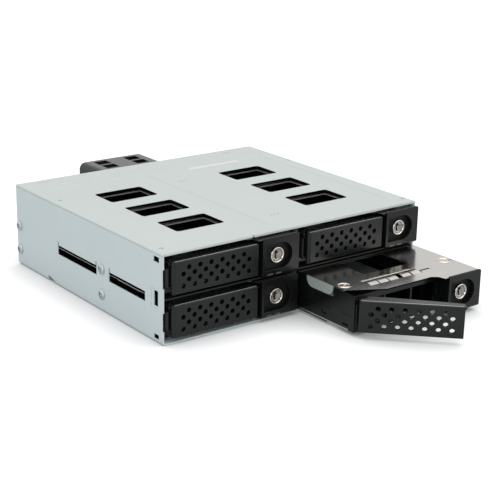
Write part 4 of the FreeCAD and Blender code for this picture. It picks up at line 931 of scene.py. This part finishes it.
# ---- floor, world and lights ----
def stage_floor():
    """White floor that glows to the camera, less to the object, and darkens close to it."""
    mesh = bpy.data.meshes.new("floor")
    corners = ((-1, -1), (1, -1), (1, 1), (-1, 1))
    mesh.from_pydata([(x * FLOOR_HALF, y * FLOOR_HALF, 0) for x, y in corners], [], [(0, 1, 2, 3)])
    floor = bpy.data.objects.new("floor", mesh)
    floor.location.z = cad_box[0][2] - FLOOR_BELOW
    bpy.context.collection.objects.link(floor)
    shader = Shader("floor")
    shader.set(Roughness=0.9, Emission_Color=(1, 1, 1, 1))
    shader.link(shader.ramp(shader.noise(3.0), *FLOOR_GREYS), shader.principled.inputs["Base Color"])
    path = shader.node("ShaderNodeLightPath")
    seen = shader.node("ShaderNodeMapRange")
    seen.inputs["To Min"].default_value = FLOOR_MIRRORED
    shader.link(path.outputs["Is Camera Ray"], seen.inputs["Value"])
    open_sky = shader.node("ShaderNodeAmbientOcclusion", Distance=FLOOR_SHADE_REACH,
                           samples=FLOOR_SHADE_SAMPLES)

    def combine(operation, first, second):
        node = shader.node("ShaderNodeMath", operation=operation)
        shader.link(first, node.inputs[0])
        if isinstance(second, float):
            node.inputs[1].default_value = second
        else:
            shader.link(second, node.inputs[1])
        return node.outputs[0]

    lit = combine("POWER", open_sky.outputs["AO"], FLOOR_SHADE_POWER)
    level = combine("MULTIPLY", seen.outputs[0], lit)
    shader.link(combine("MULTIPLY", level, FLOOR_GLOW), shader.principled.inputs["Emission Strength"])
    mesh.materials.append(shader.material)


def light_world():
    """White to the camera, softer as light, and darker to mirrors on one side."""
    world = bpy.data.worlds.new("world")
    bpy.context.scene.world = world
    world.use_nodes = True
    tree = world.node_tree
    link = tree.links.new

    def backdrop(colour, strength):
        node = tree.nodes.new("ShaderNodeBackground")
        node.inputs["Color"].default_value = colour
        node.inputs["Strength"].default_value = strength
        return node

    def mixed(factor, first, second):
        node = tree.nodes.new("ShaderNodeMixShader")
        link(factor, node.inputs["Fac"])
        link(first.outputs[0], node.inputs[1])
        link(second.outputs[0], node.inputs[2])
        return node

    path = tree.nodes.new("ShaderNodeLightPath")
    lit = backdrop(WORLD_TINT, WORLD_LEVEL)
    mirrored = backdrop((1, 1, 1, 1), WORLD_MIRRORED)
    seen = backdrop((1, 1, 1, 1), 1.0)
    coords = tree.nodes.new("ShaderNodeTexCoord")
    toward = tree.nodes.new("ShaderNodeVectorMath")
    toward.operation = "DOT_PRODUCT"
    toward.inputs[1].default_value = DARK_SIDE
    link(coords.outputs["Generated"], toward.inputs[0])
    fade = tree.nodes.new("ShaderNodeMapRange")
    fade.inputs["From Min"].default_value, fade.inputs["From Max"].default_value = DARK_FADE
    fade.inputs["To Min"].default_value = WORLD_MIRRORED
    fade.inputs["To Max"].default_value = WORLD_MIRRORED * DARK_SHARE
    link(toward.outputs["Value"], fade.inputs["Value"])
    link(fade.outputs["Result"], mirrored.inputs["Strength"])
    either = tree.nodes.new("ShaderNodeMath")
    either.operation = "MAXIMUM"
    link(path.outputs["Is Camera Ray"], either.inputs[0])
    link(path.outputs["Is Transmission Ray"], either.inputs[1])
    light = mixed(path.outputs["Is Glossy Ray"], lit, mirrored)
    shown = mixed(either.outputs[0], light, seen)
    link(shown.outputs[0], tree.nodes["World Output"].inputs["Surface"])
    tree.nodes.remove(tree.nodes["Background"])


def area_light(name, place, target, size, power):
    data = bpy.data.lights.new(name, "AREA")
    data.shape = "RECTANGLE"
    data.size, data.size_y = size
    data.energy = power
    light = bpy.data.objects.new(name, data)
    light.location = place
    light.rotation_euler = (Vector(target) - Vector(place)).to_track_quat("-Z", "Y").to_euler()
    bpy.context.collection.objects.link(light)


def add_camera():
    data = bpy.data.cameras.new("camera")
    data.lens = CAMERA_LENS
    data.sensor_width = SENSOR_WIDTH
    data.shift_x, data.shift_y = CAMERA_SHIFT
    data.clip_start = NEAR_CLIP
    camera = bpy.data.objects.new("camera", data)
    turn = (Matrix.Rotation(math.radians(-CAMERA_AZIMUTH), 4, "Z")
            @ Matrix.Rotation(math.radians(90 - CAMERA_ELEVATION), 4, "X")
            @ Matrix.Rotation(math.radians(CAMERA_ROLL), 4, "Z"))
    camera.matrix_world = Matrix.Translation(CAMERA_PLACE) @ turn
    bpy.context.collection.objects.link(camera)
    bpy.context.scene.camera = camera


wall_painted_shade()
window_edge_painted_shade()
cover_strip()
all_screws()
tray_details()

stage_floor()
light_world()
for lamp in LAMPS:
    area_light(*lamp)
add_camera()
bpy.context.scene.view_settings.view_transform = "Standard"
